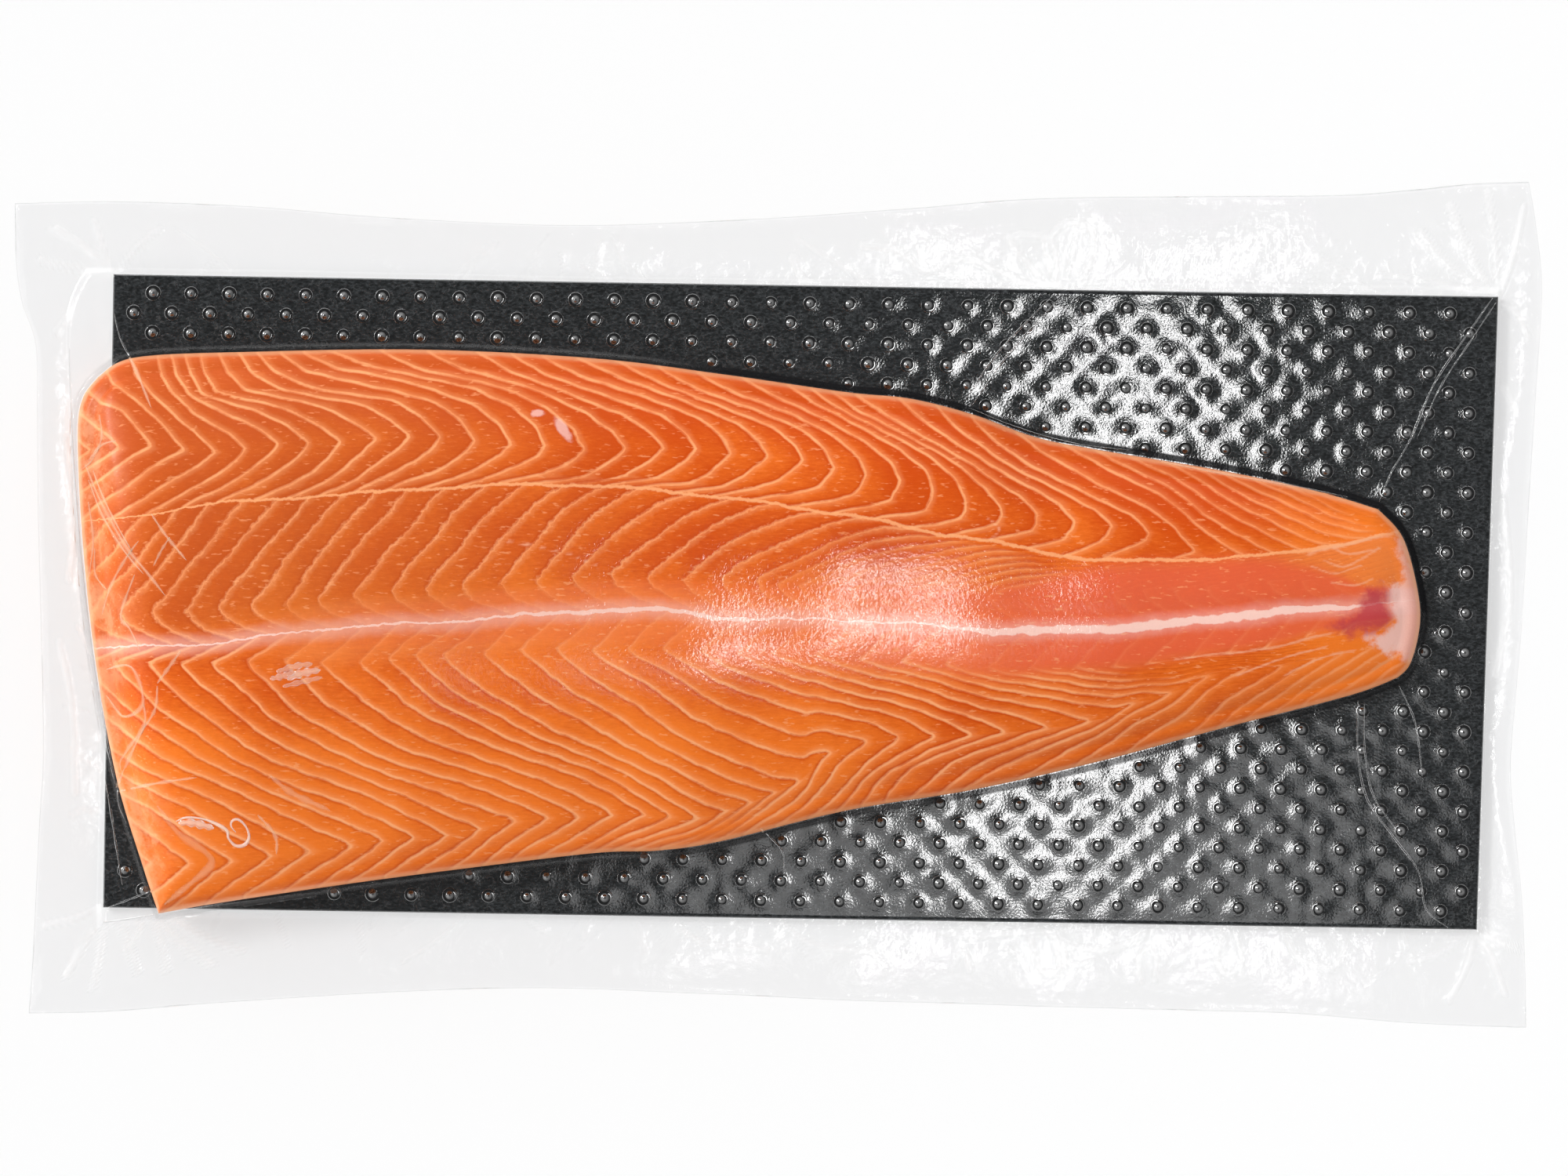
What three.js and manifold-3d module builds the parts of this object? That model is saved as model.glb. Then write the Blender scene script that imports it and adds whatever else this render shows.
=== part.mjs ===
// A side of salmon, skinned and trimmed, vacuum-packed on a studded black board in a clear sealed pouch.
// Millimetres, +Z up. The long way of the board is along X, with the tail end at +X. The pouch lies on Z = 0,
// and the origin is under the middle of its outline.
import * as THREE from "three";
import { mergeVertices } from "three/addons/utils/BufferGeometryUtils.js";
import Module from "manifold-3d";

const wasm = await Module();
wasm.setup();

// Driving dimensions. Every outline point is measured from the middle of the board.
const restGap = 0.3;
const filmThickness = 0.5;

const boardLength = 440;
const boardWidth = 202;
const boardThickness = 2;
const boardSkew = 1.8; // the tail end of the board is cut a little out of square

const studPitchFront = 12.1; // along the board, at the cut end of the fish
const studPitchTail = 13;
const studRowStep = 6.35;
const studRadius = 1.5;
const studHeight = 0.9;
const studSides = 5;
const studSink = 0.1;
const studClearance = 2.5; // from the fish's outline and the board's edges

const backOutline = [
  [-223.6, 67.9], [-212, 74.3], [-175.7, 76.7], [-120, 78.3], [-65.7, 76.4], [-25.6, 72.1], [14.5, 67],
  [34.5, 65.3], [54.6, 60.6], [74.7, 53.7], [94.8, 50], [134.9, 43.9], [165, 37.9], [184.3, 32.5],
];
const bellyOutline = [
  [-201.6, -102.3], [-182.9, -98.7], [-143, -92.1], [-103.1, -86.2], [-63.1, -80.8], [-43.1, -79.7],
  [-23.2, -76.4], [16.6, -66], [56.5, -58.8], [96.4, -49.2], [136.2, -37.8], [176, -26.9], [191.4, -20.9],
];
const frontCutOutline = [
  [-201.6, -102.3], [-206.8, -87.6], [-215.8, -59], [-223.1, -21.6], [-227.7, 15.8], [-229.8, 48.3],
  [-228.5, 60.8], [-223.6, 67.9],
];
const tailOutline = [
  [191.4, -20.9], [195.1, -16.8], [197.6, -8], [198.1, 1.5], [195.3, 15.2], [191.4, 25.1], [184.3, 32.5],
];
// Heights over the board at even steps from the front cut to the tail end.
const crestHeights = [27, 30, 30.5, 29, 27, 25, 22.5, 19.5, 16, 11];
const shoulderHeights = [13, 14, 13.5, 13, 12.5, 12, 11, 9.5, 8, 6];
const crestAt = 0.46; // share of the way from the belly edge to the back edge
const domePower = 2.3;
const midlineDepth = 0.8; // the shallow furrow beside the lateral line, deepest at the tail
const midlineWidth = 0.035;
// How the dome rises from each end: the square root of (steepness * distance + start), up to its full height.
const frontRise = { steepness: 14, start: 0.12 };
const tailRise = { steepness: 9, start: 0.05 };
const undersideMiddle = [-25, 0]; // the triangles of the flat underside meet here
const alongSteps = 54;
const acrossSteps = 20;
// The side wall, from the board up: [share of the shoulder's height, how far it stands in from the outline].
const sideProfile = [[0, 3.5], [0.25, 0.6], [0.5, 0], [0.75, 1], [0.92, 2.8], [1, 5.5]];

const pouchTop = [
  [-252, 123.2], [-219, 124.2], [-181.5, 123.6], [-136.4, 120.8], [-76.4, 119], [-16.4, 122], [33.5, 126.1],
  [68.5, 129.6], [118.4, 131.4], [168.4, 132.5], [193.4, 134.7], [213.4, 137], [231.1, 137.8],
];
const pouchBottom = [
  [-243.3, -135.2], [-214.8, -134], [-177.3, -130.4], [-127.4, -126.6], [-77.4, -124.5], [-27.4, -125.5],
  [22.6, -126.9], [122.7, -128.3], [160.2, -128.7], [197.7, -131.1], [234.7, -132.2],
];
const pouchFront = [
  [-243.3, -135.2], [-242.5, -119.5], [-240.8, -74.4], [-240.1, -51.9], [-241.5, -11.9], [-242.9, 25.6],
  [-243.6, 55.6], [-244.5, 78], [-249.2, 91.7], [-251.4, 105.4], [-252, 123.2],
];
const pouchTail = [
  [234.7, -132.2], [233.9, -111.7], [232.3, -89.2], [230, -69.3], [228.4, -49.3], [229.7, -24.3],
  [231.5, 5.8], [234.4, 70.8], [235.7, 103.3], [233.6, 123.3], [231.1, 137.8],
];
const pouchAlongSteps = 46;
const pouchAcrossSteps = 24;
const marginRings = 5;
const marginSwell = 0.8; // how far the margin stands up, halfway out from the board
const marginWave = 2.4;
const marginWaves = 17; // whole waves round the pouch

function curvePoints(points, steps) {
  return new THREE.SplineCurve(points.map(([x, y]) => new THREE.Vector2(x, y))).getSpacedPoints(steps);
}

// The four sides of an outline, as { bottom, top, left, right }, each a list of evenly spaced points.
function sidesOf(bottom, top, left, right, along, across) {
  return {
    bottom: curvePoints(bottom, along),
    top: curvePoints(top, along),
    left: curvePoints(left, across),
    right: curvePoints(right, across),
  };
}

// Once round the outline, anticlockwise from the corner where the bottom and the left side meet.
function ringOf({ bottom, top, left, right }) {
  return [
    ...bottom.slice(0, -1),
    ...right.slice(0, -1),
    ...top.slice(1).reverse(),
    ...left.slice(1).reverse(),
  ];
}

// Cuts a ring up again into four sides, with the counts that ringOf joined.
function sidesOfRing(ring, along, across) {
  const at = (from, count) => Array.from({ length: count + 1 }, (_, i) => ring[(from + i) % ring.length]);
  return {
    bottom: at(0, along),
    right: at(along, across),
    top: at(along + across, along).reverse(),
    left: at(2 * along + across, across).reverse(),
  };
}

function insetRing(ring, distance) {
  return ring.map((point, i) => {
    const before = ring[(i + ring.length - 1) % ring.length];
    const after = ring[(i + 1) % ring.length];
    const inward = new THREE.Vector2(before.y - after.y, after.x - before.x).normalize();
    return point.clone().addScaledVector(inward, distance);
  });
}

// A point inside four sides, by blending them (a Coons patch).
function patchPoint({ bottom, top, left, right }, i, j, along, across) {
  const u = i / along;
  const v = j / across;
  return new THREE.Vector2()
    .addScaledVector(bottom[i], 1 - v)
    .addScaledVector(top[i], v)
    .addScaledVector(left[j], 1 - u)
    .addScaledVector(right[j], u)
    .addScaledVector(bottom[0], -(1 - u) * (1 - v))
    .addScaledVector(bottom[along], -u * (1 - v))
    .addScaledVector(top[0], -(1 - u) * v)
    .addScaledVector(top[along], -u * v);
}

// The value a share of the way along evenly spaced numbers.
function valueAlong(values, share) {
  const place = Math.min(Math.max(share, 0), 1) * (values.length - 1);
  const k = Math.min(Math.floor(place), values.length - 2);
  return THREE.MathUtils.lerp(values[k], values[k + 1], place - k);
}

function geometryOf(vertices, triangles) {
  const geometry = new THREE.BufferGeometry();
  const places = vertices.flatMap((p) => [p.x, p.y, p.z]);
  geometry.setAttribute("position", new THREE.Float32BufferAttribute(places, 3));
  geometry.setIndex(triangles);
  return geometry;
}

// Two triangles between neighbours on a lower and an upper ring of vertices.
function bandBetween(triangles, lower, upper, count) {
  for (let i = 0; i < count; i++) {
    const next = (i + 1) % count;
    triangles.push(lower + i, lower + next, upper + next, lower + i, upper + next, upper + i);
  }
}

const fishSides = sidesOf(bellyOutline, backOutline, frontCutOutline, tailOutline, alongSteps, acrossSteps);
const fishRing = ringOf(fishSides);

// How far along the fish each point of the ring lies, from 0 at the front cut to 1 at the tail.
function shareAlongFish(index) {
  if (index <= alongSteps) return index / alongSteps;
  if (index <= alongSteps + acrossSteps) return 1;
  if (index <= 2 * alongSteps + acrossSteps) return 1 - (index - alongSteps - acrossSteps) / alongSteps;
  return 0;
}

function fishTopHeight(u, v) {
  const shoulder = valueAlong(shoulderHeights, u);
  const side = v < crestAt ? crestAt : 1 - crestAt;
  const dome = 1 - Math.abs((v - crestAt) / side) ** domePower;
  const riseFrom = ({ steepness, start }, distance) => Math.sqrt(steepness * distance + start);
  const ends = Math.min(1, riseFrom(frontRise, u), riseFrom(tailRise, 1 - u));
  const furrow = midlineDepth * u * Math.exp(-(((v - crestAt) / midlineWidth) ** 2));
  return shoulder + (valueAlong(crestHeights, u) - shoulder) * dome * ends - furrow;
}

function salmonGeometry() {
  const floor = filmThickness + restGap + boardThickness + restGap;
  const vertices = [];
  const triangles = [];
  const count = fishRing.length;
  for (const [share, inset] of sideProfile) {
    insetRing(fishRing, inset).forEach((p, i) => {
      const shoulder = valueAlong(shoulderHeights, shareAlongFish(i));
      vertices.push(new THREE.Vector3(p.x, p.y, floor + share * shoulder));
    });
  }
  for (let k = 0; k + 1 < sideProfile.length; k++) {
    bandBetween(triangles, k * count, (k + 1) * count, count);
  }

  // The top is a grid inside the last ring, whose own vertices are its edge.
  const edge = (sideProfile.length - 1) * count;
  const inner = sidesOfRing(insetRing(fishRing, sideProfile.at(-1)[1]), alongSteps, acrossSteps);
  const ringIndex = (i, j) => {
    if (j === 0) return edge + i;
    if (i === alongSteps) return edge + alongSteps + j;
    if (j === acrossSteps) return edge + 2 * alongSteps + acrossSteps - i;
    return edge + ((count - j) % count);
  };
  const grid = [];
  for (let j = 0; j <= acrossSteps; j++) {
    for (let i = 0; i <= alongSteps; i++) {
      const onEdge = i === 0 || j === 0 || i === alongSteps || j === acrossSteps;
      if (onEdge) {
        grid.push(ringIndex(i, j));
        continue;
      }
      const p = patchPoint(inner, i, j, alongSteps, acrossSteps);
      const height = fishTopHeight(i / alongSteps, j / acrossSteps);
      grid.push(vertices.push(new THREE.Vector3(p.x, p.y, floor + height)) - 1);
    }
  }
  for (let j = 0; j < acrossSteps; j++) {
    for (let i = 0; i < alongSteps; i++) {
      const a = grid[j * (alongSteps + 1) + i];
      const b = grid[j * (alongSteps + 1) + i + 1];
      const c = grid[(j + 1) * (alongSteps + 1) + i + 1];
      const d = grid[(j + 1) * (alongSteps + 1) + i];
      triangles.push(a, b, c, a, c, d);
    }
  }

  // The underside is flat on the board.
  const middle = vertices.push(new THREE.Vector3(...undersideMiddle, floor)) - 1;
  for (let i = 0; i < count; i++) triangles.push(middle, (i + 1) % count, i);
  return geometryOf(vertices, triangles);
}

const boardCorners = [
  [-boardLength / 2, -boardWidth / 2],
  [boardLength / 2 - boardSkew, -boardWidth / 2],
  [boardLength / 2 + boardSkew, boardWidth / 2],
  [-boardLength / 2, boardWidth / 2],
];

function toSolid(geometry) {
  const bare = geometry.clone();
  bare.deleteAttribute("normal");
  bare.deleteAttribute("uv");
  const merged = mergeVertices(bare);
  return new wasm.Manifold(new wasm.Mesh({
    numProp: 3,
    vertProperties: merged.attributes.position.array,
    triVerts: new Uint32Array(merged.index.array),
  }));
}

function fromSolid(solid) {
  const mesh = solid.getMesh();
  const geometry = new THREE.BufferGeometry();
  geometry.setAttribute("position", new THREE.Float32BufferAttribute(mesh.vertProperties, 3));
  geometry.setIndex(Array.from(mesh.triVerts));
  return geometry;
}

function insideRing(ring, x, y) {
  let inside = false;
  ring.forEach((a, i) => {
    const b = ring[(i + 1) % ring.length];
    if (a.y > y !== b.y > y && x < ((b.x - a.x) * (y - a.y)) / (b.y - a.y) + a.x) inside = !inside;
  });
  return inside;
}

// Studs stand in staggered rows, a little further apart towards the tail, and only where the fish leaves
// them free.
function studPlaces() {
  const covered = insetRing(fishRing, -studClearance);
  const halfLength = boardLength / 2 - boardSkew - studClearance;
  const rows = Math.floor((boardWidth / 2 - studClearance) / studRowStep);
  const places = [];
  for (let row = -rows; row <= rows; row++) {
    const y = row * studRowStep;
    const stagger = Math.abs(row) % 2 ? studPitchFront / 2 : 0;
    let x = -halfLength + studClearance + stagger;
    while (x < halfLength) {
      if (!insideRing(covered, x, y)) places.push([x, y]);
      x += THREE.MathUtils.mapLinear(x, -halfLength, halfLength, studPitchFront, studPitchTail);
    }
  }
  return places;
}

function boardGeometry() {
  const outline = new THREE.Shape(boardCorners.map(([x, y]) => new THREE.Vector2(x, y)));
  const plate = new THREE.ExtrudeGeometry(outline, { depth: boardThickness, bevelEnabled: false });
  plate.translate(0, 0, filmThickness + restGap);
  const top = filmThickness + restGap + boardThickness;
  const studs = studPlaces().map(([x, y]) => {
    const stud = new THREE.ConeGeometry(studRadius, studHeight + studSink, studSides);
    stud.rotateX(Math.PI / 2);
    stud.translate(x, y, top + (studHeight - studSink) / 2);
    return toSolid(stud);
  });
  return fromSolid(toSolid(plate).add(wasm.Manifold.union(studs)));
}

// The sealed margin is a thin wavy sheet round the board, joined to the flat film under it.
function marginHeight(share, turn) {
  const wave = marginWave * (0.5 + 0.5 * Math.sin(2 * Math.PI * marginWaves * turn)) * share;
  return marginSwell * 4 * share * (1 - share) + wave;
}

function pouchGeometry() {
  const boardSides = (a, b, steps) => Array.from({ length: steps + 1 }, (_, i) =>
    new THREE.Vector2(...boardCorners[a]).lerp(new THREE.Vector2(...boardCorners[b]), i / steps));
  const innerRing = ringOf({
    bottom: boardSides(0, 1, pouchAlongSteps),
    right: boardSides(1, 2, pouchAcrossSteps),
    top: boardSides(3, 2, pouchAlongSteps),
    left: boardSides(0, 3, pouchAcrossSteps),
  });
  const outerRing = ringOf(
    sidesOf(pouchBottom, pouchTop, pouchFront, pouchTail, pouchAlongSteps, pouchAcrossSteps),
  );
  const count = innerRing.length;
  const vertices = [];
  const triangles = [];
  for (const face of [0, filmThickness]) {
    for (let k = 0; k <= marginRings; k++) {
      innerRing.forEach((p, i) => {
        const share = k / marginRings;
        const at = p.clone().lerp(outerRing[i], share);
        vertices.push(new THREE.Vector3(at.x, at.y, face + marginHeight(share, i / count)));
      });
    }
    vertices.push(new THREE.Vector3(0, 0, face));
  }
  const faceSize = (marginRings + 1) * count + 1;
  for (let k = 0; k < marginRings; k++) {
    bandBetween(triangles, k * count, (k + 1) * count, count); // the underside
    bandBetween(triangles, faceSize + (k + 1) * count, faceSize + k * count, count);
  }
  bandBetween(triangles, marginRings * count, faceSize + marginRings * count, count);
  for (let i = 0; i < count; i++) {
    const next = (i + 1) % count;
    triangles.push(faceSize - 1, next, i);
    triangles.push(2 * faceSize - 1, faceSize + i, faceSize + next);
  }
  return geometryOf(vertices, triangles);
}

const clearFilm = new THREE.MeshStandardMaterial({
  color: "#e9eaee", roughness: 0.15, metalness: 0, transparent: true, opacity: 0.35,
});
const blackBoard = new THREE.MeshStandardMaterial({ color: "#1c1d1f", roughness: 0.55, metalness: 0 });
const salmonFlesh = new THREE.MeshStandardMaterial({ color: "#e5672a", roughness: 0.35, metalness: 0 });

const pouch = new THREE.Mesh(pouchGeometry(), clearFilm);
pouch.name = "vacuum_pouch";
const board = new THREE.Mesh(boardGeometry(), blackBoard);
board.name = "backing_board";
const salmon = new THREE.Mesh(salmonGeometry(), salmonFlesh);
salmon.name = "salmon_loin";

const pack = new THREE.Group();
pack.add(pouch, board, salmon);
pouch.geometry.computeBoundingBox();
const middle = pouch.geometry.boundingBox.getCenter(new THREE.Vector3());
pack.position.set(-middle.x, -middle.y, 0);

export default pack;
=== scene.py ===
import math

import bpy
import numpy as np
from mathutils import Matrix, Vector
from mathutils.bvhtree import BVHTree


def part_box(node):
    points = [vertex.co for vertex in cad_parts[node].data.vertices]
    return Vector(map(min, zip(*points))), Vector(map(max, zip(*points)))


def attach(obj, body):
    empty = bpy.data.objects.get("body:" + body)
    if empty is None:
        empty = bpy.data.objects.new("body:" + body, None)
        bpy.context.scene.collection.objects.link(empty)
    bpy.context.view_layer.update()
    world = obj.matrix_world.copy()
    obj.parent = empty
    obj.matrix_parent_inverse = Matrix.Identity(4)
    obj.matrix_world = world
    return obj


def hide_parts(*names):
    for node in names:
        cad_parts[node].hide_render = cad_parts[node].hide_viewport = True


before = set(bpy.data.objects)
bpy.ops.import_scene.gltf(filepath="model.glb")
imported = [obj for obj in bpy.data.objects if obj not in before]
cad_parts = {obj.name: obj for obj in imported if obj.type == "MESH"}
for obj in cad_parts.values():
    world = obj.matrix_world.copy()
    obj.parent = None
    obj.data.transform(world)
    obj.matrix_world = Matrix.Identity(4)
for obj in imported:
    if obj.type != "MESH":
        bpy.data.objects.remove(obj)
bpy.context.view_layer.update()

mm = 0.001
boardSize = {"length": 440, "width": 202, "thickness": 2, "skew": 1.8}
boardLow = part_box("backing_board")[0]
boardMiddle = (boardLow.x / mm + boardSize["length"] / 2, boardLow.y / mm + boardSize["width"] / 2)
boardTop = boardLow.z / mm + boardSize["thickness"]
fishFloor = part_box("salmon_loin")[0].z / mm


def putInScene(name, data):
    made = bpy.data.objects.new(name, data)
    bpy.context.scene.collection.objects.link(made)
    return made


# Everything below is worked out in millimetres from the middle of the board, and placed here.
def buildMesh(name, points, faces, material, values=None):
    mesh = bpy.data.meshes.new(name)
    mesh.from_pydata(((np.asarray(points, float) + [*boardMiddle, 0]) * mm).tolist(), [], faces)
    for key, numbers in (values or {}).items():
        mesh.attributes.new(key, "FLOAT", "POINT").data.foreach_set("value", np.asarray(numbers, np.float32))
    mesh.polygons.foreach_set("use_smooth", [True] * len(mesh.polygons))
    mesh.materials.append(material)
    mesh.update()
    return putInScene(name, mesh)


def finishPiece(piece, slot, *nodes):
    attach(piece, "root")
    if nodes:
        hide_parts(*nodes)
    print(piece.name, len(piece.data.polygons), "faces")


# Curves and rings

def denseCurve(points, cuts=40):
    p = np.array(points, float)
    p = np.vstack([p[:1], p, p[-1:]])
    t = np.linspace(0, 1, cuts, endpoint=False)[:, None]
    pieces = []
    for a, b, c, d in zip(p, p[1:], p[2:], p[3:]):
        leave, arrive = (c - a) / 2, (d - b) / 2
        cubic = 2 * b - 2 * c + leave + arrive
        square = 3 * c - 3 * b - 2 * leave - arrive
        pieces.append(cubic * t**3 + square * t**2 + leave * t + b)
    return np.vstack(pieces + [p[-1:]])


def evenPoints(points, steps):
    dense = denseCurve(points)
    run = np.concatenate([[0], np.cumsum(np.linalg.norm(np.diff(dense, axis=0), axis=1))])
    at = np.linspace(0, run[-1], steps + 1)
    return np.stack([np.interp(at, run, dense[:, k]) for k in range(dense.shape[1])], 1)


def curveAt(points, x):
    dense = denseCurve(points)
    return np.interp(x, dense[:, 0], dense[:, 1])


def valueAlong(values, share):
    return curveAt([(k / (len(values) - 1), v) for k, v in enumerate(values)], share)


def joinRing(bottom, right, top, left):
    return np.vstack([bottom[:-1], right[:-1], top[1:][::-1], left[1:][::-1]])


def cutRing(ring, along, across):
    at = lambda start, count: ring[np.arange(start, start + count + 1) % len(ring)]
    return (at(0, along), at(along, across), at(along + across, along)[::-1],
            at(2 * along + across, across)[::-1])


def outwardOf(ring, smoothing):
    tangent = np.roll(ring, -1, 0) - np.roll(ring, 1, 0)
    normal = np.stack([tangent[:, 1], -tangent[:, 0]], 1)
    normal /= np.linalg.norm(normal, axis=1)[:, None]
    for _ in range(3):
        normal = sum(np.roll(normal, k, 0) for k in range(-smoothing, smoothing + 1))
        normal /= np.linalg.norm(normal, axis=1)[:, None]
    return normal


def patchBetween(bottom, right, top, left):
    u = np.linspace(0, 1, len(bottom))[None, :, None]
    v = np.linspace(0, 1, len(left))[:, None, None]
    corners = (1 - v) * ((1 - u) * bottom[0] + u * bottom[-1]) + v * ((1 - u) * top[0] + u * top[-1])
    return (1 - v) * bottom[None] + v * top[None] + (1 - u) * left[:, None] + u * right[:, None] - corners


def bandFaces(lower, upper, count):
    i = np.arange(count)
    after = (i + 1) % count
    return np.stack([lower + i, lower + after, upper + after, upper + i], 1).tolist()


def stackFaces(rings, count):
    return [face for k in range(rings - 1) for face in bandFaces(k * count, (k + 1) * count, count)]


def fanFaces(middle, first, count):
    i = np.arange(count)
    return np.stack([np.full(count, middle), first + (i + 1) % count, first + i], 1).tolist()


def ringIndexGrid(first, count, along, across, inner):
    grid = np.zeros((across + 1, along + 1), int)
    grid[1:-1, 1:-1] = inner + np.arange((across - 1) * (along - 1)).reshape(across - 1, along - 1)
    grid[0, :] = first + np.arange(along + 1)
    grid[:, -1] = first + along + np.arange(across + 1)
    grid[-1, :] = first + along + across + np.arange(along + 1)[::-1]
    grid[1:, 0] = first + (count - np.arange(1, across + 1)) % count
    return grid


def gridFaces(grid):
    return np.stack([grid[:-1, :-1], grid[:-1, 1:], grid[1:, 1:], grid[1:, :-1]], -1).reshape(-1, 4).tolist()


def smoothStep(low, high, x):
    t = np.clip((x - low) / (high - low), 0, 1)
    return t * t * (3 - 2 * t)


def bell(x, width):
    return np.exp(-((x / width) ** 2))


def insideRing(ring, x, y):
    inside = np.zeros(len(x), bool)
    for a, b in zip(ring, np.roll(ring, -1, 0)):
        crosses = (a[1] > y) != (b[1] > y)
        inside ^= crosses & (x < a[0] + (y - a[1]) * (b[0] - a[0]) / ((b[1] - a[1]) or 1))
    return inside


def distanceTo(line, x, y):
    nearest = np.full(len(x), 1e9)
    for a, b in zip(line, line[1:]):
        reach = b - a
        t = np.clip(((x - a[0]) * reach[0] + (y - a[1]) * reach[1]) / max(reach @ reach, 1e-9), 0, 1)
        nearest = np.minimum(nearest, np.hypot(x - a[0] - t * reach[0], y - a[1] - t * reach[1]))
    return nearest


# Nodes

# A number in a node tree, joined to others with + - * /
class Number:
    def __init__(self, nodes, socket):
        self.nodes, self.socket = nodes, socket

    __add__ = lambda a, b: a.nodes.calc("ADD", a, b)
    __sub__ = lambda a, b: a.nodes.calc("SUBTRACT", a, b)
    __rsub__ = lambda a, b: a.nodes.calc("SUBTRACT", b, a)
    __mul__ = lambda a, b: a.nodes.calc("MULTIPLY", a, b)
    __truediv__ = lambda a, b: a.nodes.calc("DIVIDE", a, b)


class Nodes:
    def __init__(self, tree):
        self.tree = tree

    def set(self, socket, value):
        value = getattr(value, "socket", value)
        if isinstance(value, bpy.types.NodeSocket):
            self.tree.links.new(value, socket)
        else:
            socket.default_value = value

    def add(self, kind, inputs=None, **settings):
        made = self.tree.nodes.new(kind)
        for key, value in settings.items():
            setattr(made, key, value)
        for key, value in (inputs or {}).items():
            self.set(made.inputs[key], value)
        return made.outputs

    def calc(self, operation, a, b=0.0):
        return Number(self, self.add("ShaderNodeMath", {0: a, 1: b}, operation=operation)[0])

    def vector(self, operation, a, b):
        return self.add("ShaderNodeVectorMath", {0: a, "Scale" if operation == "SCALE" else 1: b},
                        operation=operation)[0]

    def attribute(self, name):
        return Number(self, self.add("ShaderNodeAttribute", attribute_name=name)["Fac"])

    def mix(self, share, a, b):
        return Number(self, self.add("ShaderNodeMix", {0: share, 2: a, 3: b})[0])

    def blend(self, share, a, b):
        return self.add("ShaderNodeMix", {0: share, 6: a, 7: b}, data_type="RGBA")[2]

    def step(self, value, low, high, start=0.0, end=1.0):
        inputs = {"Value": value, "From Min": low, "From Max": high, "To Min": start, "To Max": end}
        return Number(self, self.add("ShaderNodeMapRange", inputs, interpolation_type="SMOOTHSTEP")["Result"])

    # places in millimetres
    def coords(self, stretch=(1, 1, 1)):
        scale = tuple(s / mm for s in stretch)
        return self.vector("MULTIPLY", self.add("ShaderNodeTexCoord")["Object"], scale)

    def noise(self, coords, scale, detail=2.0, roughness=0.5):
        inputs = {"Vector": coords, "Scale": scale, "Detail": detail, "Roughness": roughness}
        return Number(self, self.add("ShaderNodeTexNoise", inputs)["Fac"])

    def cells(self, coords, scale):
        inputs = {"Vector": coords, "Scale": scale}
        return self.add("ShaderNodeTexVoronoi", inputs, feature="DISTANCE_TO_EDGE")["Distance"]

    def bump(self, height, strength, reach):
        return self.add("ShaderNodeBump", {"Height": height, "Strength": strength, "Distance": reach * mm})[0]

    def principled(self, **inputs):
        named = {key.replace("_", " "): value for key, value in inputs.items()}
        self.set(self.surface, self.add("ShaderNodeBsdfPrincipled", named)[0])


def newMaterial(name):
    made = bpy.data.materials.new(name)
    made.use_nodes = True
    made.node_tree.nodes.clear()
    nodes = Nodes(made.node_tree)
    nodes.surface = made.node_tree.nodes.new("ShaderNodeOutputMaterial").inputs["Surface"]
    return made, nodes


def srgb(red, green, blue):
    linear = [((c / 255 + 0.055) / 1.055) ** 2.4 if c > 10 else c / 255 / 12.92 for c in (red, green, blue)]
    return (*linear, 1)


# The camera looks straight down, and the board lies a little turned in its view.

view = {"height": 2200, "frameWidth": 500, "turn": 0.93, "middle": (-4.5, 4.4), "sensor": 36}


def addCamera():
    data = bpy.data.cameras.new("camera")
    data.sensor_width = view["sensor"]
    data.lens = view["sensor"] * (view["height"] - boardTop) / view["frameWidth"]
    data.clip_start = 0.05
    camera = putInScene("camera", data)
    x, y = (boardMiddle[k] + view["middle"][k] for k in (0, 1))
    camera.location = (x * mm, y * mm, view["height"] * mm)
    camera.rotation_euler = (0, 0, math.radians(view["turn"]))
    bpy.context.scene.camera = camera


photo = {"middle": (1017.75, 768), "pixelsPerMm": 4}


# Places in the photo, in its pixels, as millimetres from the middle of the board as seen
def seenLine(places):
    turn = math.radians(view["turn"])
    c, s = math.cos(turn), math.sin(turn)
    across, up = (np.array(places, float) - photo["middle"]).T / photo["pixelsPerMm"] * [[1], [-1]]
    return np.column_stack([across * c - up * s, across * s + up * c])


# Where a point of the fish appears to lie on the board, seen by the camera
def asSeen(points):
    middle = np.array(view["middle"])
    return middle + (points[:, :2] - middle) * (view["height"] / (view["height"] - points[:, 2:3]))


# The fish's outline and height, as in the solid it replaces

fish = {
    "alongSteps": 380, "acrossSteps": 160,
    "crest": [27, 30, 30.5, 29, 27, 25, 22.5, 19.5, 16, 11],
    "shoulder": [13, 14, 13.5, 13, 12.5, 12, 11, 9.5, 8, 6],
    "crestAt": 0.46, "domePower": 2.3,
    "furrowDepth": 0.4, "furrowWidth": 0.035,
    "frontRise": 0.02, "tailRise": 0.033,
    "pillow": 0.11,
    # up the side wall: share of the shoulder's height, and how far inside the outline
    "side": [(0, 3.5), (0.12, 1.6), (0.25, 0.6), (0.37, 0.15), (0.5, 0), (0.63, 0.3), (0.75, 1), (0.85, 1.8),
             (0.92, 2.8), (0.97, 4), (1, 5.5)],
}
backOutline = [
    (-223.6, 67.9), (-212, 74.3), (-175.7, 76.7), (-120, 78.3), (-65.7, 76.4), (-25.6, 72.1), (14.5, 67),
    (34.5, 65.3), (54.6, 60.6), (74.7, 53.7), (94.8, 50), (134.9, 43.9), (165, 37.9), (184.3, 32.5),
]
bellyOutline = [
    (-201.6, -102.3), (-182.9, -98.7), (-143, -92.1), (-103.1, -86.2), (-63.1, -80.8), (-43.1, -79.7),
    (-23.2, -76.4), (16.6, -66), (56.5, -58.8), (96.4, -49.2), (136.2, -37.8), (176, -26.9), (191.4, -20.9),
]
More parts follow.
